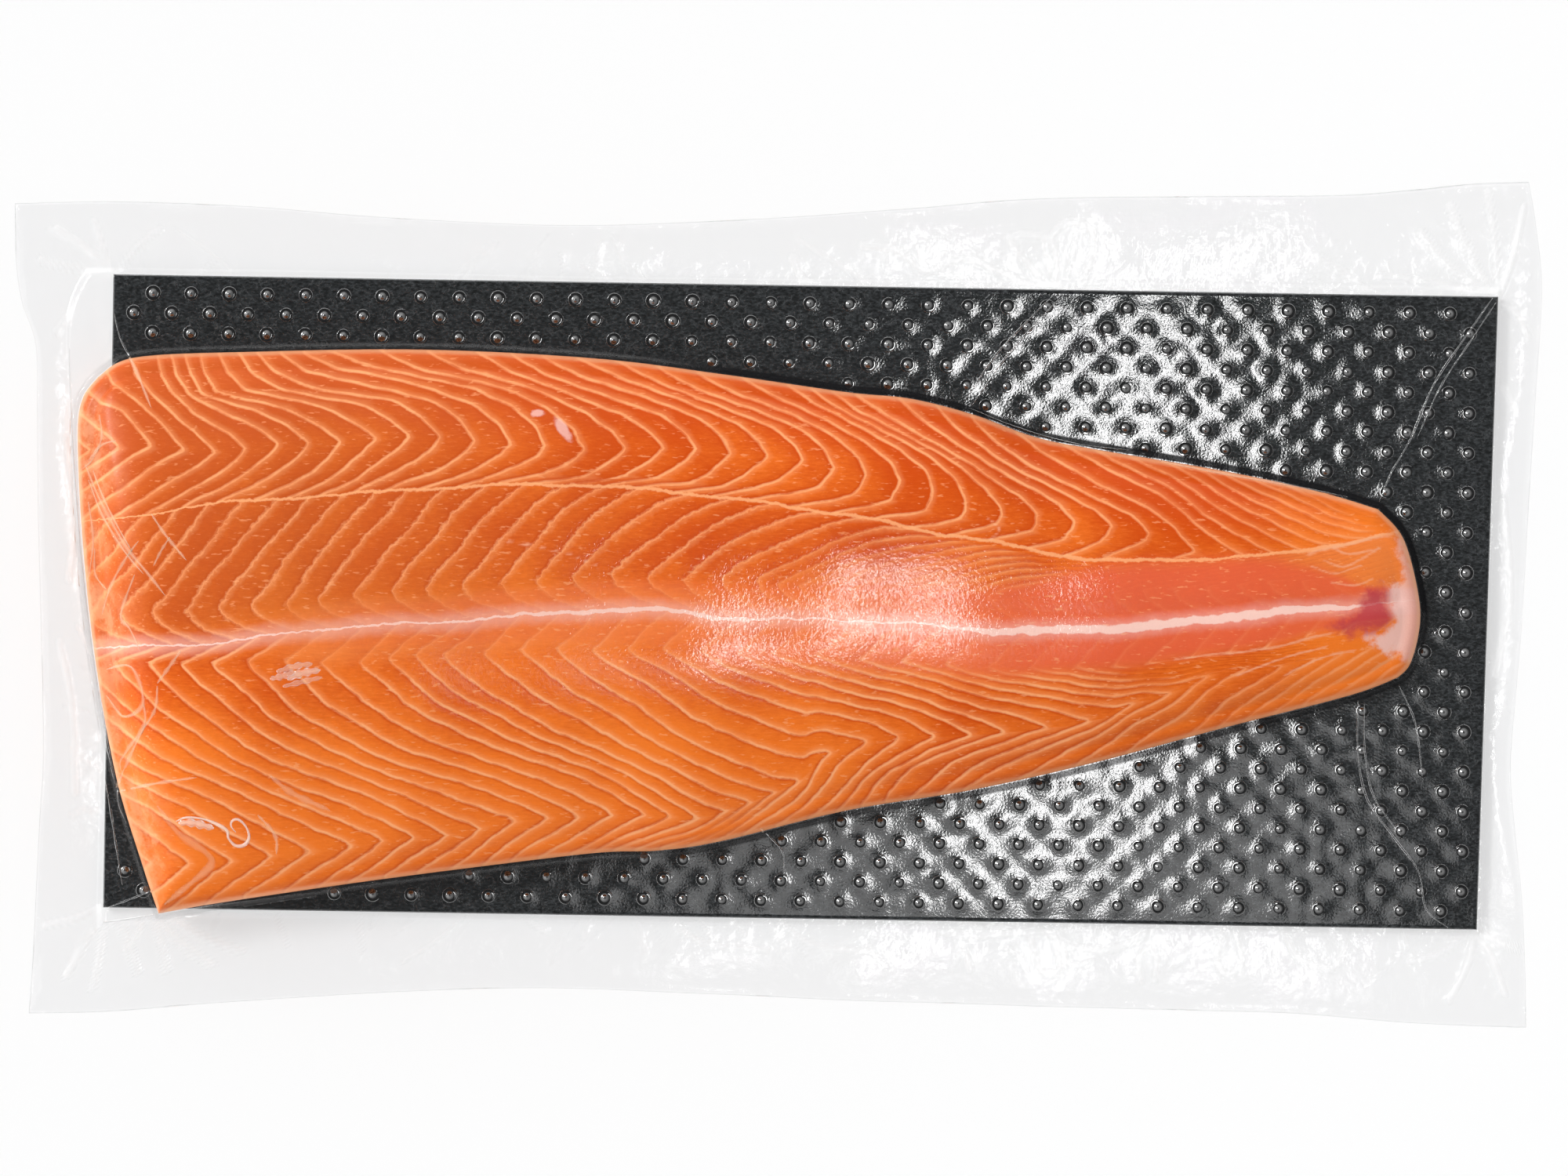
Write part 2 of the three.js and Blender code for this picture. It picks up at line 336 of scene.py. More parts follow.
frontCutOutline = [
    (-201.6, -102.3), (-206.8, -87.6), (-215.8, -59), (-223.1, -21.6), (-227.7, 15.8), (-229.8, 48.3),
    (-228.5, 60.8), (-223.6, 67.9),
]
tailOutline = [
    (191.4, -20.9), (195.1, -16.8), (197.6, -8), (198.1, 1.5), (195.3, 15.2), (191.4, 25.1), (184.3, 32.5),
]


def fishRing(along, across):
    return joinRing(evenPoints(bellyOutline, along), evenPoints(tailOutline, across),
                    evenPoints(backOutline, along), evenPoints(frontCutOutline, across))


def ringAndOutward(along, across):
    ring = fishRing(along, across)
    return ring, outwardOf(ring, max(2, round(along / 60)))


def shareAlong(along, across):
    up = np.arange(along) / along
    return np.concatenate([up, np.ones(across), 1 - up, np.zeros(across)])


def fishHeight(u, v):
    shoulder = valueAlong(fish["shoulder"], u)
    side = np.where(v < fish["crestAt"], fish["crestAt"], 1 - fish["crestAt"])
    dome = 1 - np.abs((v - fish["crestAt"]) / side) ** fish["domePower"]
    ends = (1 - np.exp(-u / fish["frontRise"])) * (1 - np.exp(-(1 - u) / fish["tailRise"]))
    furrow = fish["furrowDepth"] * u * bell(v - fish["crestAt"], fish["furrowWidth"])
    return shoulder + (valueAlong(fish["crest"], u) - shoulder) * dome * ends - furrow


# Rings up the side and a grid over the top, as points and faces, and how many points a ring has
def fishShell(along, across, outset=0.0, lift=0.0):
    ring, outward = ringAndOutward(along, across)
    count, rings = len(ring), len(fish["side"])
    shoulder = valueAlong(fish["shoulder"], shareAlong(along, across))
    points = []
    for share, inset in fish["side"]:
        height = fishFloor + share * shoulder + (lift if share == 1 else 0)
        points.append(np.column_stack([ring + outward * (outset - inset), height]))
    top = patchBetween(*cutRing(points[-1][:, :2], along, across))
    u, v = np.meshgrid(np.linspace(0, 1, along + 1), np.linspace(0, 1, across + 1))
    z = fishFloor + fishHeight(u, v) + lift
    points.append(np.column_stack([top[1:-1, 1:-1].reshape(-1, 2), z[1:-1, 1:-1].ravel()]))
    faces = stackFaces(rings, count)
    faces += gridFaces(ringIndexGrid((rings - 1) * count, count, along, across, rings * count))
    return np.vstack(points), faces, count


# Key lines of the flesh, as seen from above, from the back edge to the belly edge

upperPeaks = [(-240, 44), (-207, 46), (-187, 45.2), (-146, 49.4), (-115, 50.7), (-81, 48.2), (-32, 48.2),
              (10.6, 43.4), (53, 33.6), (76, 29.3), (111, 23.8), (132, 17.5), (155, 18.5), (185, 24.5),
              (205, 29)]
upperSeam = [(-240, 20), (-207, 24.9), (-180, 29.1), (-150, 31.6), (-115, 34.6), (-80, 36.2), (-55, 35.6),
             (-30, 33.5), (-5, 30.7), (20, 27.3), (45, 22.7), (68, 19.1), (95, 15), (120, 15.5), (145, 16.9),
             (170, 20.8), (185, 24), (205, 28)]
middlePeaks = [(-240, -9), (-222, -8), (-185, -4.8), (-164, -2.9), (-118, 2.8), (-96, 4.2), (-70, 7.4),
               (-48, 7.2), (-25, 6.9), (-4, 5.7), (45, 3), (95, 4.5), (140, 8), (185, 11), (205, 12)]
lateralLine = [(-240, -19), (-222, -18.1), (-192, -16.6), (-169, -13.7), (-144, -10.3), (-119, -8.7),
               (-94, -6.3), (-69, -4.1), (-39, -3.4), (-19, -5.8), (11, -5.3), (38, -6.6), (66, -8.2),
               (91, -7.3), (116, -5.4), (141, -2.2), (171, 1), (183, 2.5), (205, 3.5)]
lowerStarts = [(-240, -24), (-176, -22.1), (-140, -21.5), (-113, -18.8), (-89, -17), (-60, -16.5), (0, -17),
               (60, -20), (100, -19), (140, -14), (185, -6), (205, -3)]
lowerPeaks = [(-240, -88), (-179, -85.2), (-141, -79.6), (-111, -75.8), (-79, -69.8), (-47, -68.8),
              (-28, -68.5), (-13, -63.7), (1.5, -56.2), (10, -48.3), (33, -42.7), (68, -40.7), (96, -35.7),
              (108, -30.5), (122, -26.5), (137, -19.5), (155, -17.7), (185, -11), (205, -8)]

# Each row is one of the pale lines between the muscle segments: its count from the front, its place
# at station 1 or 0, and how far behind that place it lies at each station.
upperStations = [0, 0.2, 0.4, 0.6, 0.8, 1, 1.25, 1.5, 1.75, 2]  # back edge 0, upper peaks 1, upper seam 2
upperLines = [
    (-3, -237, [23, 20, 15, 9, 4.5, 0, 10.5, 19, 27, 33]),
    (0, -207.2, [23, 20.5, 15, 9, 4.5, 0, 10.5, 19, 27, 33]),
    (3, -177.2, [28.5, 27.8, 23.8, 16.3, 6.3, 0, 3.8, 10.5, 20, 32]),
    (6, -146.5, [45.5, 44.5, 40.5, 19.3, 8.3, 0, 3.5, 8.5, 16, 28]),
    (9, -114.7, [60, 54, 41, 13.8, 5.5, 0, 3.8, 9.3, 16.8, 29]),
    (12, -81.5, [70, 56, 23.8, 10, 2.3, 0, 2.8, 7.8, 15, 29]),
    (15, -44, [60, 50, 30, 13, 5, 0, 2.8, 7.3, 12.3, 30]),
    (19, 0.3, [61, 46.5, 25.8, 9.3, 2.8, 0, 3, 6.8, 15, 30]),
    (23, 42, [47, 38, 23, 10.5, 2.5, 0, 0.3, 1.3, 8.5, 18.5]),
    (26, 75.8, [58.5, 50, 37, 18.8, 5.8, 0, 0.5, 2.3, 8.5, 15.5]),
    (29, 110.8, [56, 50, 36.5, 19.5, 5.5, 0, 1, 3.5, 8, 13.5]),
    (31, 141.5, [59, 44, 30, 18, 8.5, 0, 0.5, 1, 1.8, 3]),
    (34, 170, [55, 40, 28, 17, 8.5, 0, 0.5, 1, 2, 3]),
    (37, 198.5, [55, 40, 28, 17, 8.5, 0, 0.5, 1, 2, 3]),
]
middleStations = [0, 0.1, 0.25, 0.4, 0.6, 0.8, 1, 1.3, 1.6, 2]  # upper seam 0, middle peaks 1, lateral line 2
middleLines = [
    (-6, -219.7, 28, 0.95), (0, -156.7, 28.5, 0.95), (3, -125.2, 28.5, 0.95), (6, -88.2, 30.5, 0.85),
    (9, -50, 33.8, 0.74), (12, -8, 40, 0.72), (15, 36.5, 50, 0.72), (18, 70, 62, 0.72), (22, 115, 75, 0.72),
    (27, 170, 80, 0.72),
]  # count, place on the seam, reach back to the peak, and the power of the run between
middleReturn = 17  # how far forward again the lines run into the lateral line
# lateral line -1, lower starts 0, lower peaks 1, belly edge 2
lowerStations = [-1, 0, 0.25, 0.5, 0.75, 1, 1.25, 1.5, 2]
lowerLines = [
    (-9, -179.2, [79, 91.4, 75.9, 53.9, 23.8, 0, 5, 10.5, 21]),
    (-6, -141.2, [83, 97.9, 81.3, 57.8, 25.5, 0, 5, 10.5, 21]),
    (0, -78.5, [83, 97.6, 81, 57.6, 25.4, 0, 5, 10.5, 21]),
    (3, -47.2, [79, 92.9, 77.1, 54.8, 24.2, 0, 5, 11, 24]),
    (6, -21, [78, 91.9, 76.3, 54.2, 23.9, 0, 5, 12, 30]),
    (9, 1.5, [66, 78.6, 60, 38, 17, 0, 7, 13, 28]),
    (12, 33.4, [64, 76.3, 50, 28, 11, 0, 8, 13, 28.5]),
    (15, 67.8, [63, 75.7, 49, 28, 10.5, 0, 17, 31, 39]),
    (18, 108, [62, 74.7, 48, 27, 10, 0, 16, 33, 55]),
    (22, 155.5, [55, 67, 44, 24, 9, 0, 8, 16, 32]),
    (26, 193.5, [45, 57, 38, 21, 8, 0, 8, 16, 32]),
]


# The count of the pale line at each seen point: whole on a line, and between two lines in between.
def countLines(rows, stations, station, x):
    fine = np.linspace(stations[0], stations[-1], 400)
    at = np.clip((station - fine[0]) / (fine[-1] - fine[0]) * (len(fine) - 1), 0, len(fine) - 1)
    low = np.clip(at.astype(int), 0, len(fine) - 2)
    share = at - low
    places = []
    for _, place, behind in rows:
        line = place - np.interp(fine, stations, behind)
        rounded = np.convolve(np.pad(line, 9, mode="edge"), np.hanning(19) / np.hanning(19).sum(), "valid")
        places.append(rounded[low] * (1 - share) + rounded[low + 1] * share)
    places = np.array(places)
    counts = np.array([row[0] for row in rows], float)
    left = np.clip((places <= x).sum(0) - 1, 0, len(rows) - 2)
    pick = np.arange(len(x))
    a, b = places[left, pick], places[left + 1, pick]
    return counts[left] + (x - a) / (b - a) * (counts[left + 1] - counts[left])


def middleRow(count, seam, reach, power):
    behind = [reach * s**power if s <= 1 else reach - middleReturn * (s - 1) ** 1.8 for s in middleStations]
    return count, seam, behind


# The three rows of muscle: the lines between which each lies, and the pale lines across it
muscles = {
    "upper": ([backOutline, upperPeaks, upperSeam], upperStations, upperLines),
    "middle": ([upperSeam, middlePeaks, lateralLine], middleStations,
               [middleRow(*row) for row in middleLines]),
    "lower": ([lateralLine, lowerStarts, lowerPeaks, bellyOutline], lowerStations, lowerLines),
}


def countIn(muscle, x, y):
    keys, stations, rows = muscles[muscle]
    lines = [curveAt(key, x) for key in keys]
    station = None
    for k in range(len(lines) - 2, -1, -1):
        here = stations[0] + k + (lines[k] - y) / np.maximum(lines[k] - lines[k + 1], 0.5)
        station = here if station is None else np.where(y > lines[k + 1], here, station)
    return countLines(rows, stations, station, x)


def countAndSlope(muscle, x, y, step=0.3):
    here = countIn(muscle, x, y)
    slope = np.hypot(countIn(muscle, x + step, y) - here, countIn(muscle, x, y - step) - here) / step
    return here, np.clip(slope, 0.05, 1.2)


# What the flesh's material reads, in millimetres or as shares from 0 to 1
bandWidthUp = [(-240, 4), (-100, 8), (0, 12), (60, 14), (90, 20), (120, 21), (150, 18), (170, 12), (182, 6),
               (200, 4)]
bandWidthDown = [(-240, 4), (-100, 8), (0, 14), (60, 15), (100, 13), (150, 10), (180, 6), (200, 5)]
bandStrength = [(-240, 0), (-170, 0.1), (-100, 0.3), (-40, 0.3), (20, 0.42), (60, 0.8), (90, 1), (180, 1),
                (205, 1)]
lineWidth = [(-240, 0.25), (-100, 0.35), (-80, 0.55), (-40, 0.7), (-17, 0.6), (-10, 0.3), (40, 0.3),
             (58, 0.7), (66, 1.1), (100, 1.4), (150, 1.25), (170, 0.9), (184, 0.3), (205, 0.1)]
seamWidth = [(-240, 0.1), (-150, 0.3), (0, 0.35), (100, 0.4), (140, 0.3), (158, 0.35), (163, 0.5), (175, 0.4),
             (185, 0.3), (205, 0.2)]


# Lines are drawn a little unevenly.
def wander(x, y):
    dx = 0.4 * np.sin(y / 4.3 + 2 * np.sin(x / 19)) + 0.3 * np.sin(x / 6.1 + y / 3.7)
    dx += 0.1 * np.sin(y / 1.1 + x / 2.3)
    dy = 0.35 * np.sin(x / 6.7 + 1.7 * np.sin(y / 11)) + 0.12 * np.sin(x / 2.1 - y / 3.1)
    return x + dx, y + dy


# How far the lines fade: in the pink band and by the tail, where the flesh itself shows them less, and beside
# the lateral line, towards the tail and on the crest, where the fading is painted sheen and glare
def bareness(x, y, seamOff, lateralOff, band, near):
    softened = near * smoothStep(-205, -150, x) * (0.68 - 0.15 * smoothStep(0, 60, x))
    crest = 0.95 * bell(np.hypot((x - 28) / 46, (y - 1) / 19), 1)
    tail = smoothStep(118, 150, x) * (seamOff < 0) * (lateralOff > 0)
    return np.maximum.reduce([band, softened, 0.48 * smoothStep(40, 140, x), crest, tail])


# Where the flesh is paler or darker. Paler low down, and low towards the tail, is painted sheen for how the
# light falls there, and darker above the seam is painted shade; paler beside the lateral line is partly the
# flesh's own tone and partly painted sheen, and paler at the tail is the flesh's own tone
def paleAndPaintedLight(x, seamOff, lateralOff, near):
    pale = 0.24 * smoothStep(2, 50, -lateralOff) * (1 - 0.8 * smoothStep(-20, 60, x))
    pale += 0.08 * smoothStep(40, 120, x) * (lateralOff < 0) - 0.1 * smoothStep(0, 30, seamOff)
    pale += 0.18 * near * smoothStep(-200, -140, x) * (1 - smoothStep(60, 100, x))
    return pale + 0.3 * smoothStep(135, 185, x)


def fishValues(points):
    x, y = wander(*asSeen(points).T)
    seamOff = y - curveAt(upperSeam, x)
    lateralOff = y - curveAt(lateralLine, x)
    values = {"seamOff": seamOff, "lateralOff": lateralOff}
    for muscle in muscles:
        values[muscle + "Count"], values[muscle + "Slope"] = countAndSlope(muscle, x, y)
    above = lateralOff > 0
    band = np.where(above, 1 - smoothStep(0.75, 1.15, lateralOff / curveAt(bandWidthUp, x)),
                    1 - smoothStep(0.7, 1.25, -lateralOff / curveAt(bandWidthDown, x)))
    band = band * curveAt(bandStrength, x)
    near = np.where(above, 1 - smoothStep(5, 19, lateralOff), 1 - smoothStep(6, 28, -lateralOff))
    streak = [bell(distanceTo(denseCurve(seenLine(line), 8), x, y), width) for line, width in streaks]
    fromFront = x - curveAt([(row[1], row[0]) for row in frontCutOutline[:7]], y)
    tear = np.maximum(bell(np.hypot((x + 84) / 2.6, (y - 58.5) / 1.5), 1),
                      bell(np.hypot((x + 77 + (y - 57) * 0.55) / 2.2, (y - 54) / 4.5), 1))
    return values | {
        "pinkBand": band, "bare": bareness(x, y, seamOff, lateralOff, band, near),
        "pale": paleAndPaintedLight(x, seamOff, lateralOff, near), "streak": np.max(streak, 0), "tear": tear,
        "lateralWidth": curveAt(lineWidth, x), "seamWidth": curveAt(seamWidth, x),
        "bloodSpot": 0.5 + depthInside(bloodShape, x, y) / 3,
        "tailTissue": 0.5 + depthInside(tissueShape, x, y) / 2,
        "frontHaze": 1 - smoothStep(1, 13, fromFront + 3 * np.sin(y / 9) + 2 * np.sin(y / 3.1)),
        "dull": smoothStep(-20, -170, x) * smoothStep(-12, 12, lateralOff),
    }


# The pale tissue at the tail's end and the dark red spot before it, in the photo's pixels
tissueShape = [(1781, 684), (1830, 690), (1835, 775), (1835, 850), (1804, 846), (1790, 836), (1762, 828),
               (1742, 811), (1764, 806), (1776, 792), (1772, 764), (1776, 750), (1792, 740),
               (1796, 722), (1783, 706)]
bloodShape = [(1698, 802), (1712, 790), (1735, 774), (1746, 752), (1762, 748), (1772, 756), (1770, 776),
              (1775, 792), (1762, 803), (1740, 806), (1718, 812)]


# Pale streaks by the tail and at the front, with their half widths in millimetres
streaks = [
    ([(1668, 706), (1700, 697), (1746, 688), (1772, 684)], 0.7),
    ([(1700, 697), (1722, 706), (1756, 702)], 0.5),
    ([(1690, 714), (1716, 722), (1740, 712), (1758, 700)], 0.5),
    ([(1672, 722), (1704, 730), (1738, 722)], 0.4),
    ([(1700, 742), (1730, 746), (1756, 738)], 0.4),
    ([(1500, 842), (1560, 834), (1640, 822), (1700, 808)], 0.5),
    ([(1576, 862), (1620, 844), (1690, 826)], 0.4), ([(1640, 862), (1680, 842), (1730, 830)], 0.4),
    ([(1260, 662), (1272, 676), (1262, 690)], 0.4), ([(640, 688), (700, 700), (760, 722)], 0.3),
]


def depthInside(shape, x, y):
    ring = seenLine(shape)
    away = distanceTo(np.vstack([ring, ring[:1]]), x, y)
    return np.where(insideRing(ring, x, y), away, -away)


def pillowHeight(values):
    count = np.where(values["seamOff"] > 0, values["upperCount"],
                     np.where(values["lateralOff"] > 0, values["middleCount"], values["lowerCount"]))
    toLine = 1 - 2 * np.abs(count - np.round(count))
    return -fish["pillow"] * toLine**3 * (1 - values["bare"]) ** 2


# How far inside the outline each point lies
def edgeDistance(along, across, count):
    u, v = np.meshgrid(np.linspace(0, 1, along + 1), np.linspace(0, 1, across + 1))
    ends, sides = np.minimum(u, 1 - u) * 420, np.minimum(v, 1 - v) * np.interp(u, [0, 1], [165, 50])
    wall = [np.full(count, inset if share > 0.5 else 0) for share, inset in fish["side"]]
    return np.concatenate([*wall, (np.minimum(ends, sides) + 5.5)[1:-1, 1:-1].ravel(), [0]])


def buildFish(material):
    along, across = fish["alongSteps"], fish["acrossSteps"]
    points, faces, count = fishShell(along, across)
    values = fishValues(points)
    low = smoothStep(fishFloor + 4, fishFloor + 12, points[:, 2])
    roll = 0.35 * np.sin(points[:, 0] / 17 + 1) * np.sin(points[:, 1] / 13) + 0.2 * np.sin(points[:, 0] / 7.1)
    points[:, 2] += low * (pillowHeight(values) + roll * 0.6)
    faces += fanFaces(len(points), 0, count)
    points = np.vstack([points, [[-25, 0, fishFloor]]])
    values = {key: np.append(numbers, 0) for key, numbers in values.items()}
    values["edgeIn"] = edgeDistance(along, across, count)
    return buildMesh("salmonLoin", points, faces, material, values)


# Salmon flesh: pale lines between the segments, fibres, fat flecks, the pink band and the lateral line

flesh = {
    "deep": srgb(206, 74, 7), "light": srgb(246, 124, 38), "line": srgb(254, 176, 120),
    "pink": srgb(233, 98, 62), "lateral": srgb(250, 204, 190), "tail": srgb(248, 204, 194),
    "dull": srgb(190, 98, 44), "blood": srgb(192, 60, 72), "paintedEdgeShade": srgb(204, 92, 30),
    "streak": srgb(246, 180, 144), "paintedSheen": srgb(240, 156, 104), "film": srgb(240, 182, 138),
    "lineCore": 0.12, "lineFade": 0.74, "glowReach": 2.3, "shadeReach": 1.5,
}


def fleshMaterial():
    made, nodes = newMaterial("salmonFlesh")
    value, step, noise = nodes.attribute, nodes.step, nodes.noise
    coords = nodes.coords()
    wobble, jitter = noise(coords, 0.22, 4, 0.6), noise(coords, 0.5, 3, 0.6)
    seamOff, lateralOff, bare, band = (value(name) for name in ("seamOff", "lateralOff", "bare", "pinkBand"))
    inUpper, inLower = nodes.calc("GREATER_THAN", seamOff), nodes.calc("LESS_THAN", lateralOff)

    def pick(upper, middle, lower):
        return nodes.mix(inLower, nodes.mix(inUpper, middle, upper), lower)

    def uneven(number, noise, reach):
        return number + (noise - 0.5) * reach

    count = pick(uneven(value("upperCount"), wobble, 0.16), uneven(value("middleCount"), jitter, 0.32),
                 uneven(value("lowerCount"), wobble, 0.2))
    slope = pick(value("upperSlope"), value("middleSlope"), value("lowerSlope"))
    share = nodes.calc("FRACT", count)
    away = nodes.calc("PINGPONG", count, 0.5) / slope
    spread = step(slope, 0.38, 0.6, 1.0, 0.0)
    shown = step(bare, 0.15, 0.85, 1.0, 0.1)
    patchy = step(noise(coords, 0.09, 4, 0.65), 0.3, 0.62, 0.3, 1.0)
    lines = step(away, flesh["lineCore"], flesh["lineFade"], 1.0, 0.0) * spread * pick(0.78, 0.5, 0.86)
    glow = step(share / slope, 0.2, flesh["glowReach"], 1.0, 0.0) * spread
    shade = step((1 - share) / slope, 0.35, flesh["shadeReach"], 1.0, 0.0) * spread
    shade = shade * step(bare, 0.1, 0.6, 1.0, 0.0)

    # muscle fibres run along the fish, between the lines
    fibre = noise(nodes.coords((0.35, 1.6, 1.6)), 0.9, 4, 0.65)
    cloud = noise(coords, 0.035, 3, 0.55)
    flecks = step(noise(nodes.coords((0.3, 1.1, 1.1)), 0.9, 2, 0.5), 0.62, 0.72)
    # The pale attribute carries painted light and shade as well as the flesh's paler tones.
    tone = fibre * 0.35 + cloud * 0.5 + 0.14 - share * 0.14 - shade * 0.2 + value("pale")

    seamAway = nodes.calc("ABSOLUTE", uneven(seamOff, jitter, 1.6))
    seam = step(seamAway / value("seamWidth"), 0.7, 2.2, 1.0, 0.0)
    lateralAway = nodes.calc("ABSOLUTE", uneven(lateralOff, wobble, 2.6))
    lateral = step(lateralAway / value("lateralWidth"), 0.8, 1.25, 1.0, 0.0)

    rough = noise(coords, 0.3, 5, 0.65)
    tail = step(uneven(value("tailTissue"), rough, 5.0), -0.4, 1.5)
    blood = step(uneven(value("bloodSpot"), rough, 2.5), -0.3, 1.4)
    tear = step(uneven(value("tear"), wobble, 0.8), 0.35, 0.7)
    streak = step(uneven(value("streak"), fibre, 1.6), 0.1, 1.3)
    edgeIn = value("edgeIn")
    edge = uneven(edgeIn, wobble, 0.8)
    creased = step(noise(coords, 0.16, 5, 0.65), 0.4, 0.62)

    # Of the film layers below, the one along the very edge is a painted sheen of the film; near the front cut
    # the film colour is a haze of crinkled film.
    base = nodes.blend(step(tone, 0.3, 0.85), flesh["deep"], flesh["light"])
    # The paintedSheen layer is a pale haze painted where the lines fade: painted sheen.
    layers = [
        (value("dull") * 0.4, "dull"), (band * 0.85, "pink"), (flecks * 0.4, "line"),
        (glow * shown * 0.26, "line"), (lines * patchy * shown, "line"), (seam * 0.8, "line"),
        (step(lateralAway, 0.5, 5.0, 0.35, 0.0), "tail"), (lateral, "lateral"),
        (tail * 0.85, "tail"), (blood * 0.85, "blood"), (tear * 0.6, "tail"), (streak * 0.7, "streak"),
        (step(bare, 0.45, 0.75, 0.0, 0.2) * (1 - band), "paintedSheen"), (step(edge, 0.5, 6.5, 0.4, 0.0), "paintedEdgeShade"),
        (value("frontHaze") * (creased * 0.35 + 0.06), "film"), (step(edge, 0.5, 2.0, 0.5, 0.0), "film"),
    ]
    # The paintedEdgeShade layer darkens the flesh within a few millimetres of its edge: painted shade on the
    # rounded edges.
    for weight, colour in layers:
        base = nodes.blend(weight, base, flesh[colour])

    grained = step(noise(nodes.coords((1, 0.6, 1)), 0.7, 3, 0.65), 0.38, 0.56, 0.55, 1.0)
    nodes.principled(
        Base_Color=base, Roughness=0.36, Specular_IOR_Level=0.12,
        Normal=nodes.bump(fibre * 0.35 + noise(coords, 1.3, 3, 0.6) * 0.45, 0.5, 0.3),
        Coat_Weight=step(edgeIn, 14.0, 45.0, 0.03, 1.0) * grained, Coat_Roughness=0.09, Coat_IOR=1.62,
        Coat_Normal=nodes.bump(noise(coords, 0.8, 2, 0.6), 0.22, 0.3),
    )
    return made


# The black board: a plate with fine leathery grain, and raised studs in staggered rows

studs = {"pitchFront": 12.1, "pitchTail": 13, "rowStep": 6.35, "clearance": 2.5, "height": 0.82, "reach": 2.4,
         "shoulder": 0.92, "sides": 16, "rings": 8, "sink": 0.06, "uneven": 0.1, "seed": 4}
plate = {"alongSteps": 400, "acrossSteps": 190, "skirtHeight": 0.16, "skirtReach": 2.8,
         "ripple": 0.012, "ripples": 46, "seed": 7}


def boardMaterial():
    made, nodes = newMaterial("blackBoard")
    coords = nodes.coords()
    grain, dents = nodes.noise(coords, 1.1, 3, 0.65), nodes.noise(coords, 0.16, 2, 0.5)
    pebbles = nodes.step(nodes.cells(coords, 0.95), 0.0, 0.35)
    bump = nodes.bump(grain * 0.6 + pebbles * 0.16 + dents * 0.7, 0.17, 0.2)
    turned = nodes.add("ShaderNodeMapping", {
        "Vector": coords, "Rotation": (0, 0, math.radians(-40)), "Scale": (0.65, 1.35, 1),
    })[0]
    mottled = nodes.step(nodes.noise(turned, 1.0, 4, 0.7), 0.36, 0.7)
    swirl = nodes.add("ShaderNodeTexNoise", {"Vector": coords, "Scale": 0.5, "Detail": 2.0})["Color"]
    swirl = nodes.vector("SCALE", nodes.vector("SUBTRACT", swirl, (0.5, 0.5, 0.5)), 2.4)
    strokes = nodes.step(nodes.cells(nodes.vector("ADD", coords, swirl), 0.42), 0.02, 0.11, 1.0, 0.0)
    broken = nodes.step(nodes.noise(coords, 0.3, 3, 0.6), 0.45, 0.6)
    base = nodes.blend(mottled, srgb(14, 16, 17), srgb(58, 61, 63))
    nodes.principled(
        Base_Color=nodes.blend(strokes * broken * 0.16, base, srgb(112, 114, 116)), Normal=bump,
        Roughness=nodes.step(mottled, 0.0, 1.0, 0.05, 0.09), Specular_IOR_Level=0.9,
        Coat_Weight=1.0, Coat_Roughness=0.06, Coat_Normal=bump,
    )
    return made


def studMaterial():
    made, nodes = newMaterial("blackStuds")
    coords = nodes.coords()
    worn = nodes.step(nodes.noise(coords, 1.5, 3, 0.6), 0.4, 0.75)
    nodes.principled(
        Base_Color=nodes.blend(worn, srgb(3, 3, 4), srgb(30, 31, 32)), Specular_IOR_Level=0.5,
        Roughness=nodes.step(worn, 0.0, 1.0, 0.05, 0.1),
        Normal=nodes.bump(nodes.noise(coords, 1.2, 2), 0.05, 0.2),
        Coat_Weight=1.0, Coat_Roughness=0.03, Coat_IOR=2.0,
    )
    return made


def boardCorners():
    x, y, skew = boardSize["length"] / 2, boardSize["width"] / 2, boardSize["skew"]
    return [np.array(p) for p in ((-x, -y), (x - skew, -y), (x + skew, y), (-x, y))]


def boardSides(along, across):
    a, b, c, d = boardCorners()
    straight = lambda p, q, steps: p + (q - p) * np.linspace(0, 1, steps + 1)[:, None]
    return straight(a, b, along), straight(b, c, across), straight(d, c, along), straight(a, d, across)


def studPlaces():
    ring = fishRing(54, 20)
    covered = ring + outwardOf(ring, 1) * studs["clearance"]
    halfLength = boardSize["length"] / 2 - boardSize["skew"] - studs["clearance"]
    rows = int((boardSize["width"] / 2 - studs["clearance"]) // studs["rowStep"])
    places = []
    for row in range(-rows, rows + 1):
        x = -halfLength + studs["clearance"] + (studs["pitchFront"] / 2 if row % 2 else 0)
        while x < halfLength:
            places.append((x, row * studs["rowStep"]))
            share = (x + halfLength) / (2 * halfLength)
            x += studs["pitchFront"] + (studs["pitchTail"] - studs["pitchFront"]) * share
    places = np.array(places)
    return places[~insideRing(covered, *places.T)]


# The plate swells a little round each stud, and is not quite flat between them.
def plateRelief(x, y, places):
    relief = np.zeros(len(x))
    for place in places:
        near = (np.abs(x - place[0]) < 8) & (np.abs(y - place[1]) < 8)
        away = np.hypot(x[near] - place[0], y[near] - place[1])
        relief[near] = np.maximum(relief[near], plate["skirtHeight"] * bell(away, plate["skirtReach"]))
    random = np.random.default_rng(plate["seed"])
    for _ in range(plate["ripples"]):
        turn, wave, phase = random.uniform(0, math.pi), random.uniform(3.2, 11), random.uniform(0, math.tau)
        reach = plate["ripple"] * wave / 8
        relief += reach * np.sin((x * math.cos(turn) + y * math.sin(turn)) * math.tau / wave + phase) / 3
    edge = np.minimum(boardSize["length"] / 2 - np.abs(x), boardSize["width"] / 2 - np.abs(y))
    return relief * smoothStep(0, 3, edge)


